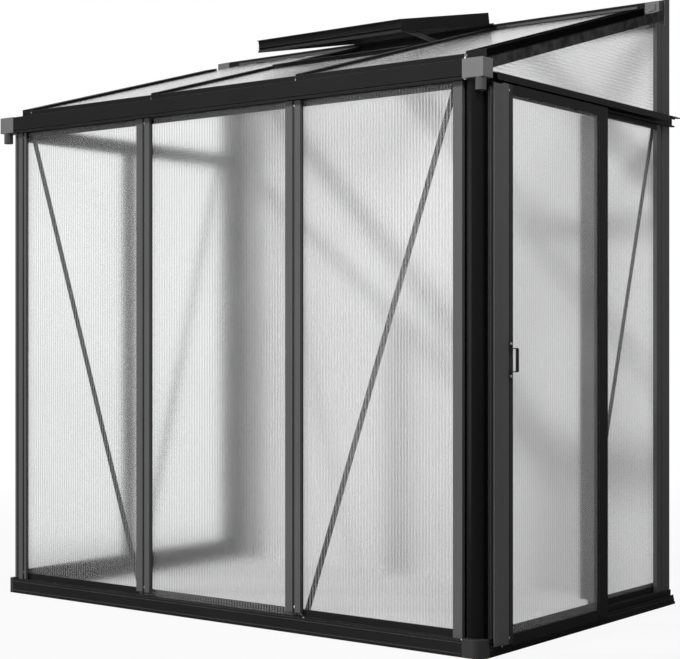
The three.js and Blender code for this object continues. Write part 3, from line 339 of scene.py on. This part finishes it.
def twin_wall(name, axis):
    """The skins of a twin-wall sheet whose flutes repeat along one axis: faint milky lines at
    the walls between the flutes, a light haze, and open to the lamps' light."""
    finish = Finish(name)
    haze = finish.noise(scale=2.2, detail=3.0)
    rough = haze.between(0.3, 0.7) * SKIN_ROUGHNESS_SPREAD + SKIN_ROUGHNESS
    clear_tint, hazy_tint = tint(0.895, 0.90, 0.90), tint(0.925, 0.93, 0.93)
    colour = finish.mixed(haze.between(0.3, 0.7), clear_tint, hazy_tint)
    off_wall = ((finish.here().along(axis) / FLUTE).fraction() - 0.5).size()
    entering = 1.0 - finish.node("ShaderNodeNewGeometry", output="Backfacing")
    line = off_wall.between(*MILK_FROM) * entering
    glass = finish.principled(
        Base_Color=colour, Roughness=rough, IOR=1.2, Transmission_Weight=1.0,
        Normal=finish.bump(haze, distance=0.5 * MM, strength=0.2))
    milk = finish.principled(Base_Color=grey(0.90), Roughness=0.4, Specular_IOR_Level=0.3)
    skin = finish.shaders(line * MILK_SHARE + HAZE_SHARE, glass, milk)
    passed = finish.node("ShaderNodeBsdfTransparent", inputs={"Color": grey(SKIN_SHADOW)})
    seen = finish.shaders(finish.ray("Is Diffuse Ray"), skin, passed)
    return finish.finished(finish.shaders(finish.ray("Is Shadow Ray"), seen, passed))


def sheet_web():
    """The thin walls between a sheet's flutes, seen through its skins."""
    finish = Finish("twin_wall_web")
    cloud = finish.noise(scale=20.0)
    colour = finish.mixed(cloud, grey(0.86), grey(0.92))
    face = finish.principled(Base_Color=colour, Roughness=0.35)
    through = finish.node("ShaderNodeBsdfTranslucent", inputs={"Color": colour})
    wall = finish.shaders(WEB_GLOW_SHARE, face, through)
    open_side = finish.node("ShaderNodeBsdfTransparent")
    passed = finish.shaders(cloud * 0.02 + WEB_SHARE, open_side, wall)
    return finish.finished(finish.shaders(finish.ray("Is Shadow Ray"), passed, open_side))


def brushed_steel(name, dark, light):
    finish = Finish(name)
    lines = finish.noise(scale=900.0, stretch=(1.0, 0.04, 1.0))
    colour = finish.mixed(lines, grey(dark), grey(light))
    rough = lines * 0.12 + 0.26
    normal = finish.bump(lines, distance=0.05 * MM, strength=0.4, normal=finish.eased(0.4 * MM))
    return finish.finished(finish.principled(
        Base_Color=colour, Roughness=rough, Metallic=1.0, Normal=normal))


BLACK = powder_coat("black_coat_finish", BLACK_DARK, BLACK_LIGHT, BLACK_ROUGHNESS, BLACK_SHINE)
BAR = powder_coat("bar_coat_finish", BAR_DARK, BAR_LIGHT, BAR_ROUGHNESS, BAR_SHINE)
PLASTIC = moulded_plastic("moulded_plastic", dark=0.115, light=0.135)
STEEL = brushed_steel("brushed_steel", dark=0.36, light=0.46)
RUBBER = rubber()
FINISHES = {"black_coat": BLACK, "bar_coat": BAR, "grey_plastic": PLASTIC, "steel": STEEL}
SKINS = [twin_wall("twin_wall_along_x", 0), twin_wall("twin_wall_along_y", 1),
         twin_wall("twin_wall_along_z", 2)]
WEB = sheet_web()

# Sheets, by the axis along which their flutes repeat
REPEAT_X = ["front_sheet_1", "front_sheet_2", "front_sheet_3", "roof_sheet_1", "roof_sheet_2",
            "roof_sheet_3", "vent_sheet"]
REPEAT_Y = ["gable_sheet_left_1", "gable_sheet_left_2", "gable_sheet_right", "door_sheet"]
REPEAT_Z = ["triangle_sheet_left", "triangle_sheet_right"]


# Height of the gutter ends' boxes above the corner posts' tops
SPOUT_GAP = 3 * MM


def dress_nodes():
    slots = {part["node"]: part["material_slot"] for part in frame["record"]["subparts"]}
    skins = {}
    for axis, names in enumerate([REPEAT_X, REPEAT_Y, REPEAT_Z]):
        for name in names:
            skins[name] = SKINS[axis]
    skins["corner_post_right"] = rounded_corner_coat_painted_shade()
    skins["verge_right"] = verge_coat()
    skins["vent_stay"] = brushed_steel("blackened_steel", 0.035, 0.055)
    # The base caps are the gutter ends' plastic, painted far darker as painted shade low down by
    # the floor
    base_cap_plastic_painted_shade = moulded_plastic("base_cap_painted_shade_plastic", 0.014, 0.019)
    skins["base_cap_left"] = skins["base_cap_right"] = base_cap_plastic_painted_shade
    spout_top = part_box("corner_post_right")[1].z + SPOUT_GAP
    end_plastic = moulded_plastic("gutter_end_plastic", 0.105, 0.120, spout_top)
    skins["gutter_end_left"] = skins["gutter_end_right"] = end_plastic
    skins["door_stile_rear"] = BLACK
    skins["door_stile_front"] = stile_coat_painted_shade()
    for name, node in frame["nodes"].items():
        node.data.materials.clear()
        node.data.materials.append(skins.get(name) or FINISHES[slots[name]])


# Modelling
def alone(obj):
    bpy.ops.object.select_all(action="DESELECT")
    obj.select_set(True)
    bpy.context.view_layer.objects.active = obj


def start_box(name, low, high):
    """A cube at its size and place, to be shaped further."""
    bpy.ops.object.select_all(action="DESELECT")
    low, high = Vector(low), Vector(high)
    bpy.ops.mesh.primitive_cube_add(size=1.0, location=(low + high) / 2, scale=high - low)
    obj = bpy.context.object
    obj.name = name
    bpy.ops.object.transform_apply(location=True, rotation=True, scale=True)
    return obj


def apply_modifiers(obj):
    alone(obj)
    for modifier in list(obj.modifiers):
        bpy.ops.object.modifier_apply(modifier=modifier.name)


def pick_faces(obj, chosen):
    """Goes into edit mode with only the chosen faces selected."""
    alone(obj)
    bpy.ops.object.mode_set(mode="EDIT")
    bpy.ops.mesh.select_mode(type="FACE")
    bpy.ops.mesh.select_all(action="DESELECT")
    bpy.ops.object.mode_set(mode="OBJECT")
    for face in obj.data.polygons:
        face.select = chosen(face)
    bpy.ops.object.mode_set(mode="EDIT")


def leave_edit():
    bpy.ops.object.mode_set(mode="OBJECT")


def ease_edges(obj, width, segments=2):
    """A small rounding of every sharp edge."""
    bevel = obj.modifiers.new("ease", "BEVEL")
    bevel.width = width
    bevel.segments = segments
    bevel.limit_method = "ANGLE"
    apply_modifiers(obj)


def repeat(obj, count, step):
    array = obj.modifiers.new("repeat", "ARRAY")
    array.count = count
    array.use_relative_offset = False
    array.use_constant_offset = True
    array.constant_offset_displace = step
    apply_modifiers(obj)


def finish_piece(obj, body, material):
    obj.data.materials.clear()
    obj.data.materials.append(material)
    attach(obj, body)


def make_webs(node, along, across, rise=0.0):
    """The walls between a sheet's flutes: they run along one axis, climbing by the rise given,
    and repeat across another on the grid that the sheet's milky lines follow."""
    low, high = (Vector(corner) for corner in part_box(node))
    climb = rise * (high.y - low.y)
    if rise:
        high.z -= climb
    depth = 3 - along - across
    first, last = low.copy(), high.copy()
    first[depth] += SKIN
    last[depth] -= SKIN
    first[along] += WEB_THICKNESS
    last[along] -= WEB_THICKNESS
    start = math.ceil((low[across] + WEB_THICKNESS) / FLUTE)
    count = math.floor((high[across] - WEB_THICKNESS) / FLUTE) - start + 1
    first[across] = start * FLUTE - WEB_THICKNESS / 2
    last[across] = first[across] + WEB_THICKNESS
    obj = start_box(node + "_flutes", first, last)
    if rise:
        pick_faces(obj, lambda face: face.normal.y > 0.5)
        bpy.ops.transform.translate(value=(0.0, 0.0, climb))
        leave_edit()
    pick_faces(obj, lambda face: abs(face.normal[across]) > 0.5)
    bpy.ops.mesh.inset(thickness=SKIN, depth=-WEB_PINCH)
    leave_edit()
    step = Vector((0.0, 0.0, 0.0))
    step[across] = FLUTE
    repeat(obj, count, step)
    return obj


def trim_above_roof(obj, drop):
    """Cuts off what stands above a plane that lies below the roof bars' tops by the drop given."""
    alone(obj)
    bpy.ops.object.mode_set(mode="EDIT")
    bpy.ops.mesh.select_all(action="SELECT")
    bpy.ops.mesh.bisect(
        plane_co=(0.0, FRONT, ROOF_TOP_AT_FRONT - drop), plane_no=(0.0, -ROOF_RISE, 1.0),
        use_fill=True, clear_outer=True)
    leave_edit()


# How far the triangles' flutes stay below the roof bars' tops
TRIANGLE_DROP = 33.0 * MM


def finish_webs(webs, body="house"):
    finish_piece(webs, body, WEB)


def make_all_webs():
    for node in REPEAT_X[:3]:
        finish_webs(make_webs(node, 2, 0))
    for node in REPEAT_X[3:6]:
        finish_webs(make_webs(node, 1, 0, ROOF_RISE))
    finish_webs(make_webs("vent_sheet", 1, 0, VENT_RISE), "vent")
    for node in REPEAT_Y[:3]:
        finish_webs(make_webs(node, 2, 1))
    finish_webs(make_webs("door_sheet", 2, 1), "door")
    for node in REPEAT_Z:
        webs = make_webs(node, 1, 2)
        trim_above_roof(webs, TRIANGLE_DROP)
        finish_webs(webs)


# Edges and ends of the roof
PLATE_EASE = 0.4 * MM
DRIP_TOP = 2.2 * MM
DRIP_WALL = 2.2 * MM
DRIP_LAP = 12.0 * MM
DRIP_DROP = 13.0 * MM
DRIP_GAP = 2.0 * MM
DRIP_REVEAL = 0.4 * MM
DRIP_LIP = 1.6 * MM
SHEET_RISE = 6.3 * MM
CAP_HALF = 16.0 * MM
END_GAP = 0.6 * MM


def panel(obj, chosen, thickness, depth):
    """Sinks the middle of the chosen faces."""
    pick_faces(obj, chosen)
    bpy.ops.mesh.inset(thickness=thickness, depth=-depth)
    leave_edit()


def roof_bar_middles():
    """The roof bars' middles, which stand in the middle of the gaps between the roof sheets."""
    sheets = [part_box("roof_sheet_%d" % number) for number in [1, 2, 3]]
    return [(sheets[i][1].x + sheets[i + 1][0].x) / 2 for i in [0, 1]]


def make_drip_edges():
    """A channel over each roof sheet's lower edge, between the bars."""
    middles = roof_bar_middles()
    edges = [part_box("verge_left")[1].x, middles[0] - CAP_HALF, middles[0] + CAP_HALF,
             middles[1] - CAP_HALF, middles[1] + CAP_HALF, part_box("verge_right")[0].x]
    for number in range(3):
        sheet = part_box("roof_sheet_%d" % (number + 1))
        front = sheet[0].y - DRIP_REVEAL
        top = sheet[0].z + SHEET_RISE + DRIP_TOP
        low = (edges[2 * number] + DRIP_GAP, front - DRIP_WALL, sheet[0].z - DRIP_DROP)
        high = (edges[2 * number + 1] - DRIP_GAP, front, top)
        strip = start_box("roof_drip_edge_%d" % (number + 1), low, high)
        pick_faces(strip, lambda face: True)
        bpy.ops.mesh.bisect(plane_co=(0.0, 0.0, top - DRIP_LIP), plane_no=(0.0, 0.0, 1.0))
        leave_edit()
        pick_faces(strip, lambda face: face.normal.y > 0.5 and face.center.z > top - DRIP_LIP)
        bpy.ops.mesh.extrude_region_move(TRANSFORM_OT_translate={
            "value": (0.0, DRIP_LAP, DRIP_LAP * ROOF_RISE)})
        leave_edit()
        ease_edges(strip, PLATE_EASE)
        finish_piece(strip, "house", BLACK)


def make_bar_ends():
    """Plates that close the roof bars' lower ends, between the drip edges."""
    half = CAP_HALF - END_GAP
    for number, middle in enumerate(roof_bar_middles(), 1):
        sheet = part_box("roof_sheet_%d" % number)
        front = sheet[0].y - DRIP_REVEAL
        low = (middle - half, front - DRIP_WALL, sheet[0].z - DRIP_DROP)
        high = (middle + half, front, roof_top(front) - END_GAP)
        plate = start_box("roof_bar_end_%d" % number, low, high)
        panel(plate, lambda face: face.normal.y < -0.5, thickness=2.4 * MM, depth=0.6 * MM)
        ease_edges(plate, PLATE_EASE)
        finish_piece(plate, "house", BLACK)


VERGE_END_REVEAL = 0.3 * MM
VERGE_END_SIDE = 1 * MM
VERGE_END_FOOT = 2 * MM
VERGE_END_TOP = 0.5 * MM


def make_verge_ends():
    """Plates that close the verges' lower ends."""
    for side in ["left", "right"]:
        verge_low, verge_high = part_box("verge_" + side)
        front = verge_low.y - VERGE_END_REVEAL
        low = (verge_low.x + VERGE_END_SIDE, front - DRIP_WALL, verge_low.z + VERGE_END_FOOT)
        high = (verge_high.x - VERGE_END_SIDE, front, roof_top(verge_low.y) - VERGE_END_TOP)
        plate = start_box("verge_end_" + side, low, high)
        panel(plate, lambda face: face.normal.y < -0.5, thickness=3.0 * MM, depth=0.7 * MM)
        ease_edges(plate, PLATE_EASE)
        finish_piece(plate, "house", BLACK)


# Plates that close the verges beside the ridge, where their covers stop short
VERGE_OPEN = 128 * MM
VERGE_WALL = 4.2 * MM
CLOSER_DROP = 25 * MM
CLOSER_THICKNESS = 1.2 * MM
CLOSER_EASE = 0.2 * MM
CLOSER_GAP = 0.5 * MM
RIDGE_GAP = 1 * MM


def make_verge_closer(name, near, far, start, end):
    foot = roof_top(start) - CLOSER_DROP
    plate = start_box(name, (near, start, foot), (far, end, foot + CLOSER_THICKNESS))
    pick_faces(plate, lambda face: face.normal.y > 0.5)
    bpy.ops.transform.translate(value=(0.0, 0.0, (end - start) * ROOF_RISE))
    leave_edit()
    panel(plate, lambda face: face.normal.z > 0.5, thickness=2.5 * MM, depth=0.4 * MM)
    ease_edges(plate, CLOSER_EASE)
    finish_piece(plate, "house", BLACK)


def make_verge_closers():
    """The right one is in two, since the wall post comes up through the verge's outer half."""
    ridge_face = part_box("ridge")[0].y
    start, end = ridge_face - VERGE_OPEN, ridge_face - RIDGE_GAP
    left, right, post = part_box("verge_left"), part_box("verge_right"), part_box("wall_post_right")
    outer, inner = left[0].x + VERGE_WALL, left[1].x - CLOSER_GAP
    make_verge_closer("verge_closer_left", outer, inner, start, end)
    inner, outer = right[0].x + CLOSER_GAP, right[1].x - VERGE_WALL
    beside_post = post[0].y - CLOSER_GAP
    make_verge_closer("verge_closer_right", inner, outer, start, beside_post)
    make_verge_closer("verge_closer_tail", inner, post[0].x - CLOSER_GAP, beside_post, end)


# Strips between the ridge and the outer roof sheets
SEAL_INSET = 26 * MM
SEAL_FRONT = 2.4 * MM
SEAL_BACK = 0.5 * MM
SEAL_BELOW = 2 * MM
SEAL_ABOVE = 5.5 * MM
SEAL_EASE = 0.3 * MM


def make_ridge_seals():
    ridge_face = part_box("ridge")[0].y
    for number in [1, 3]:
        sheet_low, sheet_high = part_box("roof_sheet_%d" % number)
        top = sheet_high.z
        low = (sheet_low.x + SEAL_INSET, ridge_face - SEAL_FRONT, top - SEAL_BELOW)
        high = (sheet_high.x - SEAL_INSET, ridge_face - SEAL_BACK, top + SEAL_ABOVE)
        strip = start_box("ridge_seal_%d" % number, low, high)
        panel(strip, lambda face: face.normal.y < -0.5, thickness=1.2 * MM, depth=0.5 * MM)
        ease_edges(strip, SEAL_EASE)
        finish_piece(strip, "house", BAR)


# Gaskets that run beside the flat caps
GASKET = 1.6 * MM
GASKET_PROUD = 2.6 * MM
GASKET_TOUCH = 0.05 * MM
GASKET_GAP = 0.1 * MM
GASKET_EASE = 0.25 * MM
GASKET_FOOT = 10 * MM
GASKET_HEAD = 4 * MM


def make_gasket(name, low, high):
    strip = start_box(name, low, high)
    pick_faces(strip, lambda face: abs(face.normal.z) < 0.5)
    bpy.ops.mesh.inset(thickness=0.35 * MM, depth=0.0, use_individual=True)
    leave_edit()
    ease_edges(strip, GASKET_EASE)
    finish_piece(strip, "house", RUBBER)


def make_front_gaskets():
    sheet_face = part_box("front_sheet_1")[0].y
    near, far = sheet_face - GASKET_PROUD, sheet_face - GASKET_TOUCH
    for bar in ["front_bar_1", "front_bar_2"]:
        low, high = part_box(bar)
        foot, head = low.z + GASKET_FOOT, high.z - GASKET_HEAD
        sides = [("left", low.x - GASKET - GASKET_GAP), ("right", high.x + GASKET_GAP)]
        for side, edge in sides:
            name = "%s_gasket_%s" % (bar, side)
            make_gasket(name, (edge, near, foot), (edge + GASKET, far, head))


def make_gable_gaskets():
    """In front of the right gable's bar is the doorway, so that side has no gasket."""
    left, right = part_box("gable_sheet_left_1")[0].x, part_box("gable_sheet_right")[1].x
    gables = [("gable_bar_left", left - GASKET_PROUD, left - GASKET_TOUCH, ["front", "back"]),
              ("gable_bar_right", right + GASKET_TOUCH, right + GASKET_PROUD, ["back"])]
    for bar, near, far, sides in gables:
        low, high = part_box(bar)
        foot, head = low.z + GASKET_FOOT, high.z - GASKET_HEAD
        edges = {"front": low.y - GASKET - GASKET_GAP, "back": high.y + GASKET_GAP}
        for side in sides:
            edge = edges[side]
            name = "%s_gasket_%s" % (bar, side)
            make_gasket(name, (near, edge, foot), (far, edge + GASKET, head))


# Seals between the front corner posts and the gutter's ends
CORNER_INSET = 1 * MM
CORNER_FOOT = 0.3 * MM
CORNER_HEAD = 3.0 * MM
LEFT_CORNER_SHORT = 10 * MM


def make_corner_seals():
    for side in ["left", "right"]:
        post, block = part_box("corner_post_" + side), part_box("gutter_end_" + side)
        near = max(post[0].x, block[0].x) + CORNER_INSET
        far = min(post[1].x, block[1].x) - CORNER_INSET
        if side == "left":
            near, far = post[0].x + CORNER_INSET, post[1].x - LEFT_CORNER_SHORT
        low = (near, post[0].y + CORNER_INSET, post[1].z + CORNER_FOOT)
        high = (far, block[1].y - CORNER_INSET, post[1].z + CORNER_HEAD)
        seal = start_box("corner_seal_" + side, low, high)
        panel(seal, lambda face: face.normal.z > 0.5, thickness=1.5 * MM, depth=0.4 * MM)
        ease_edges(seal, SEAL_EASE)
        finish_piece(seal, "house", RUBBER)


# Ribs along the ground rails' outer faces
RIB_HEIGHTS = [7.0 * MM, 36.5 * MM]
RIB_TALL = 4.2 * MM
RIB_PROUD = 1.6 * MM
RIB_ROOT = 0.4 * MM
RIB_INSET = 3.0 * MM
RIB_TAPER = 0.45
RIB_EASE = 0.35 * MM


def make_base_ribs():
    """Rounded ribs along the front and left ground rails, coated lighter than the rails as painted
    highlight.
    """
    # The ribs' grey, twice the rails' black, is painted highlight
    finish = powder_coat("base_rib_finish", 0.026, 0.032, BLACK_ROUGHNESS, BLACK_SHINE)
    for rail, along, out in [("base_front", 0, 1), ("base_left", 1, 0)]:
        low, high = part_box(rail)
        for number, z in enumerate(RIB_HEIGHTS, 1):
            first, last = Vector((0.0, 0.0, z)), Vector((0.0, 0.0, z + RIB_TALL))
            first[along], last[along] = low[along] + RIB_INSET, high[along] - RIB_INSET
            first[out], last[out] = low[out] - RIB_PROUD, low[out] + RIB_ROOT
            rib = start_box("%s_rib_%d" % (rail, number), first, last)
            pick_faces(rib, lambda face: face.normal[out] < -0.5)
            bpy.ops.transform.resize(value=(1.0, 1.0, RIB_TAPER))
            leave_edit()
            ease_edges(rib, RIB_EASE)
            finish_piece(rib, "house", finish)


# Brush seal at the door's head
BRISTLE = 1.1 * MM
BRISTLE_STEP = 3.0 * MM
BRISTLE_LENGTH = 9 * MM
BRUSH_INSET = 4 * MM
BRUSH_TOP = 0.4 * MM
BRUSH_BACK = 0.3 * MM
BRUSH_FRONT = 3.6 * MM


def make_brush():
    """Bristles along the door's top rail that fill the gap to the sheet."""
    low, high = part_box("door_rail_top")
    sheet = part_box("door_sheet")
    back, top = sheet[1].x + BRUSH_BACK, sheet[1].z - BRUSH_TOP
    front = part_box("door_stile_front")[1].x - BRUSH_FRONT
    first = low.y + BRUSH_INSET
    bristle = start_box("door_brush", (back, first, top - BRISTLE_LENGTH),
                        (front, first + BRISTLE, top))
    pick_faces(bristle, lambda face: face.normal.z < -0.5)
    bpy.ops.transform.resize(value=(0.5, 0.7, 1.0))
    leave_edit()
    count = math.floor((high.y - low.y - 2 * BRUSH_INSET) / BRISTLE_STEP)
    repeat(bristle, count, (0.0, BRISTLE_STEP, 0.0))
    finish_piece(bristle, "door", RUBBER)


# Bolts
BOLT_RADIUS = 3.6 * MM
BOLT_HEIGHT = 3.0 * MM
WASHER_RADIUS = 4.1 * MM
WASHER_THICKNESS = 0.8 * MM
WASHER_EASE = 0.15 * MM

# The steps of a bolt's dome, inwards and up, and its rounding, as shares of its radius
DOME_STEPS = [(0.18, 0.12), (0.3, 0.05)]
DOME_EASE = 0.05


def start_cylinder(sides, radius, depth):
    """A round or six-sided block that faces the front, with its seat at the origin."""
    bpy.ops.object.select_all(action="DESELECT")
    bpy.ops.mesh.primitive_cylinder_add(
        vertices=sides, radius=radius, depth=depth, location=(0.0, -depth / 2, 0.0),
        rotation=(QUARTER, 0.0, 0.0))
    obj = bpy.context.object
    bpy.ops.object.transform_apply(location=True, rotation=True, scale=True)
    return obj


def start_bolt(name):
    """A domed hexagon head on a washer, facing the front, with its seat at the origin."""
    head = start_cylinder(sides=6, radius=BOLT_RADIUS, depth=BOLT_HEIGHT)
    pick_faces(head, lambda face: face.normal.y < -0.5)
    for inward, up in DOME_STEPS:
        bpy.ops.mesh.inset(thickness=BOLT_RADIUS * inward, depth=BOLT_RADIUS * up)
    leave_edit()
    ease_edges(head, BOLT_RADIUS * DOME_EASE)
    disc = start_cylinder(sides=24, radius=WASHER_RADIUS, depth=WASHER_THICKNESS)
    ease_edges(disc, WASHER_EASE, segments=1)
    bpy.ops.object.select_all(action="DESELECT")
    head.select_set(True)
    disc.select_set(True)
    bpy.context.view_layer.objects.active = head
    bpy.ops.object.join()
    head.name = name
    return head


def place_copy(pattern, name, place, turn):
    """A copy with its own mesh, turned and moved, with its place in its mesh."""
    obj = pattern.copy()
    obj.data = pattern.data.copy()
    obj.name = name
    bpy.context.scene.collection.objects.link(obj)
    obj.location = place
    obj.rotation_euler = turn
    alone(obj)
    bpy.ops.object.transform_apply(location=True, rotation=True, scale=True)
    return obj


FACE_FRONT = (0.0, 0.0, 0.0)
FACE_RIGHT = (0.0, 0.0, QUARTER)
FACE_UP = (-QUARTER, 0.0, 0.0)

# Where the bolts sit on their pieces
GROOVE_FLOOR = 6.0 * MM
BAR_GROOVE = 31.3 * MM
BAR_BOLT_END = 14 * MM
CORNER_GROOVE = 40.5 * MM
CORNER_BOLT_FOOT = 22 * MM
RAIL_TOP = 46.1 * MM
RIGHT_RAIL_BOLT = (52.3 * MM, 8.5 * MM)
MIDDLE_RAIL_BOLT = (1250 * MM, 6 * MM)
STILE_GROOVE = 29.25 * MM
STILE_GROOVE_DEPTH = 4.5 * MM
STILE_BOLT_END = 16 * MM
GUIDE_BOLT = (4 * MM, 12 * MM, 20.2 * MM)
HANDLE_BOLT_END = 7 * MM
HANDLE_THICKNESS = 3.0 * MM


def bar_bolt_spots():
    for number in [1, 2]:
        low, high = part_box("front_bar_%d" % number)
        for end, z in [("foot", low.z + BAR_BOLT_END), ("head", high.z - BAR_BOLT_END)]:
            name = "front_bar_%d_bolt_%s" % (number, end)
            yield name, (low.x + BAR_GROOVE, low.y + GROOVE_FLOOR, z), FACE_FRONT, "house"
    low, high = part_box("corner_post_left")
    for end, z in [("foot", low.z + CORNER_BOLT_FOOT), ("head", high.z - BAR_BOLT_END)]:
        place = (low.x + CORNER_GROOVE, low.y + GROOVE_FLOOR, z)
        yield "left_corner_bolt_" + end, place, FACE_FRONT, "house"


def rail_bolt_spots():
    inward, forward = RIGHT_RAIL_BOLT
    yield "base_bolt_right", (RIGHT - inward, FRONT - forward, RAIL_TOP), FACE_UP, "house"
    along, forward = MIDDLE_RAIL_BOLT
    place = (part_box("base_front")[0].x + along, FRONT - forward, RAIL_TOP)
    yield "base_bolt_middle", place, FACE_UP, "house"


def door_bolt_spots():
    low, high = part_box("door_stile_front")
    lead = low.y + STILE_GROOVE
    for end, z in [("foot", low.z + STILE_BOLT_END), ("head", high.z - STILE_BOLT_END)]:
        place = (high.x - STILE_GROOVE_DEPTH, lead, z)
        yield "door_stile_bolt_" + end, place, FACE_RIGHT, "door"
    inward, along, up = GUIDE_BOLT
    place = (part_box("base_right")[1].x - inward, low.y + along, up)
    yield "guide_bolt_front", place, FACE_UP, "house"
    low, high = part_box("door_handle")
    for end, z in [("foot", low.z + HANDLE_BOLT_END), ("head", high.z - HANDLE_BOLT_END)]:
        place = (low.x + HANDLE_THICKNESS, lead, z)
        yield "handle_bolt_" + end, place, FACE_RIGHT, "door"


def make_bolts():
    """Bolts in the bars' grooves, on the base, at the door's feet and on its handle."""
    bolt = start_bolt("bolt_pattern")
    for spots in [bar_bolt_spots(), rail_bolt_spots(), door_bolt_spots()]:
        for name, place, turn, body in spots:
            finish_piece(place_copy(bolt, name, place, turn), body, STEEL)
    bpy.data.objects.remove(bolt)


# Stage, lights and camera
ROOM_LIGHT = 0.07
FLOOR_SIZE = 60.0
FLOOR_GREY = 0.50
# How much of the floor glows: to the camera, far off, and through the sheets near and far off;
# the fades are between distances in metres from the origin
FLOOR_SEEN = 0.92
FLOOR_FAR = 0.08
FLOOR_THROUGH = 0.34
FLOOR_THROUGH_FAR = 0.5
FAR_FADE = (1.6, 5.0)
THROUGH_FADE = (1.3, 2.0)

HOUSE_WALL_GREY = 0.75
HOUSE_WALL_HEIGHT = 1.95
HOUSE_WALL_GAP = 4 * MM


def pale_room(strength):
    """White to the camera, to mirrors and to glass, and gentler as a light."""
    world = bpy.data.worlds.new("pale_room")
    bpy.context.scene.world = world
    world.use_nodes = True
    tree = world.node_tree
    tree.nodes.clear()
    path = tree.nodes.new("ShaderNodeLightPath")
    seen = path.outputs["Is Camera Ray"]
    for ray in ["Is Glossy Ray", "Is Transmission Ray"]:
        either = tree.nodes.new("ShaderNodeMath")
        either.operation = "MAXIMUM"
        tree.links.new(seen, either.inputs[0])
        tree.links.new(path.outputs[ray], either.inputs[1])
        seen = either.outputs[0]
    mix = tree.nodes.new("ShaderNodeMixShader")
    tree.links.new(seen, mix.inputs[0])
    for socket, level in [(1, strength), (2, 1.0)]:
        room = tree.nodes.new("ShaderNodeBackground")
        room.inputs["Color"].default_value = grey(1.0)
        room.inputs["Strength"].default_value = level
        tree.links.new(room.outputs[0], mix.inputs[socket])
    out = tree.nodes.new("ShaderNodeOutputWorld")
    tree.links.new(mix.outputs[0], out.inputs[0])


def make_floor():
    """A pale floor: white to the camera but for the shadow, and greyer through the sheets."""
    bpy.ops.object.select_all(action="DESELECT")
    bpy.ops.mesh.primitive_plane_add(size=FLOOR_SIZE, location=(0.0, 0.0, 0.0))
    floor = bpy.context.object
    floor.name = "studio_floor"
    finish = Finish("studio_floor_paint")
    settings = {"operation": "LENGTH"}
    far = finish.node("ShaderNodeVectorMath", settings, {0: finish.here()}, output=1)
    paint = finish.principled(Base_Color=grey(FLOOR_GREY), Roughness=0.9, Specular_IOR_Level=0.1)
    glow = finish.node("ShaderNodeEmission", inputs={"Color": grey(1.0), "Strength": 1.0})
    through = far.between(*THROUGH_FADE) * FLOOR_THROUGH_FAR + FLOOR_THROUGH
    outside = through * finish.ray("Is Transmission Ray")
    seen = finish.ray("Is Camera Ray") * FLOOR_SEEN
    share = far.between(*FAR_FADE) * FLOOR_FAR + seen + outside
    finish.finished(finish.shaders(share, paint, glow))
    floor.data.materials.append(finish.material)


def make_house_wall():
    """The pale wall that the house stands against, seen only through the sheets."""
    bpy.ops.object.select_all(action="DESELECT")
    middle = ((LEFT + RIGHT) / 2, WALL + HOUSE_WALL_GAP, HOUSE_WALL_HEIGHT / 2)
    bpy.ops.mesh.primitive_plane_add(size=1.0, location=middle, rotation=(QUARTER, 0.0, 0.0))
    wall = bpy.context.object
    wall.scale = (RIGHT - LEFT, HOUSE_WALL_HEIGHT, 1.0)
    bpy.ops.object.transform_apply(location=True, rotation=True, scale=True)
    wall.name = "studio_house_wall"
    finish = Finish("studio_wall_paint")
    paint = finish.principled(
        Base_Color=grey(HOUSE_WALL_GREY), Roughness=0.9, Specular_IOR_Level=0.1)
    clear = finish.node("ShaderNodeBsdfTransparent")
    finish.finished(finish.shaders(finish.ray("Is Transmission Ray"), clear, paint))
    wall.data.materials.append(finish.material)


def sun_lamp(name, towards, strength, softness):
    data = bpy.data.lights.new(name, "SUN")
    data.energy = strength
    data.angle = math.radians(softness)
    lamp = bpy.data.objects.new(name, data)
    bpy.context.scene.collection.objects.link(lamp)
    lamp.rotation_euler = Vector(towards).to_track_quat("-Z", "Y").to_euler()


def area_lamp(name, place, target, size, power):
    data = bpy.data.lights.new(name, "AREA")
    data.shape = "RECTANGLE"
    data.size, data.size_y = size
    data.energy = power
    lamp = bpy.data.objects.new(name, data)
    bpy.context.scene.collection.objects.link(lamp)
    lamp.location = place
    lamp.rotation_euler = (Vector(target) - Vector(place)).to_track_quat("-Z", "Y").to_euler()


def light_stage():
    pale_room(ROOM_LIGHT)
    sun_lamp("key", towards=(1.28, 1.0, -1.036), strength=2.6, softness=4.0)
    area_lamp("front_softbox", place=(-1.3, -3.9, 1.0), target=(0.4, -0.57, 0.9),
              size=(1.4, 2.0), power=45.0)
    area_lamp("right_softbox", place=(2.0, -2.1, 2.8), target=(0.93, -0.4, 1.2),
              size=(0.8, 0.8), power=50.0)


# The camera, placed from the house's left front edge
CAMERA_RIGHT = 4.1439
CAMERA_OUT = 3.5702
CAMERA_HEIGHT = 0.8452
CAMERA_TURN_DEGREES = 37.684


def set_camera():
    """The camera stands level at the photograph's place; the frame is taken as 680 by 659."""
    data = bpy.data.cameras.new("camera")
    data.lens = 83.96
    data.sensor_width = 36.0
    data.shift_y = 0.0176
    camera = bpy.data.objects.new("camera", data)
    bpy.context.scene.collection.objects.link(camera)
    camera.location = (LEFT + CAMERA_RIGHT, FRONT - CAMERA_OUT, CAMERA_HEIGHT)
    camera.rotation_euler = (QUARTER, 0.0, math.radians(CAMERA_TURN_DEGREES))
    bpy.context.scene.camera = camera


bpy.context.scene.view_settings.view_transform = "Standard"
dress_nodes()
make_all_webs()
make_drip_edges()
make_bar_ends()
make_verge_ends()
make_verge_closers()
make_ridge_seals()
make_front_gaskets()
make_gable_gaskets()
make_corner_seals()
make_base_ribs()
make_brush()
make_bolts()
make_floor()
make_house_wall()
light_stage()
set_camera()
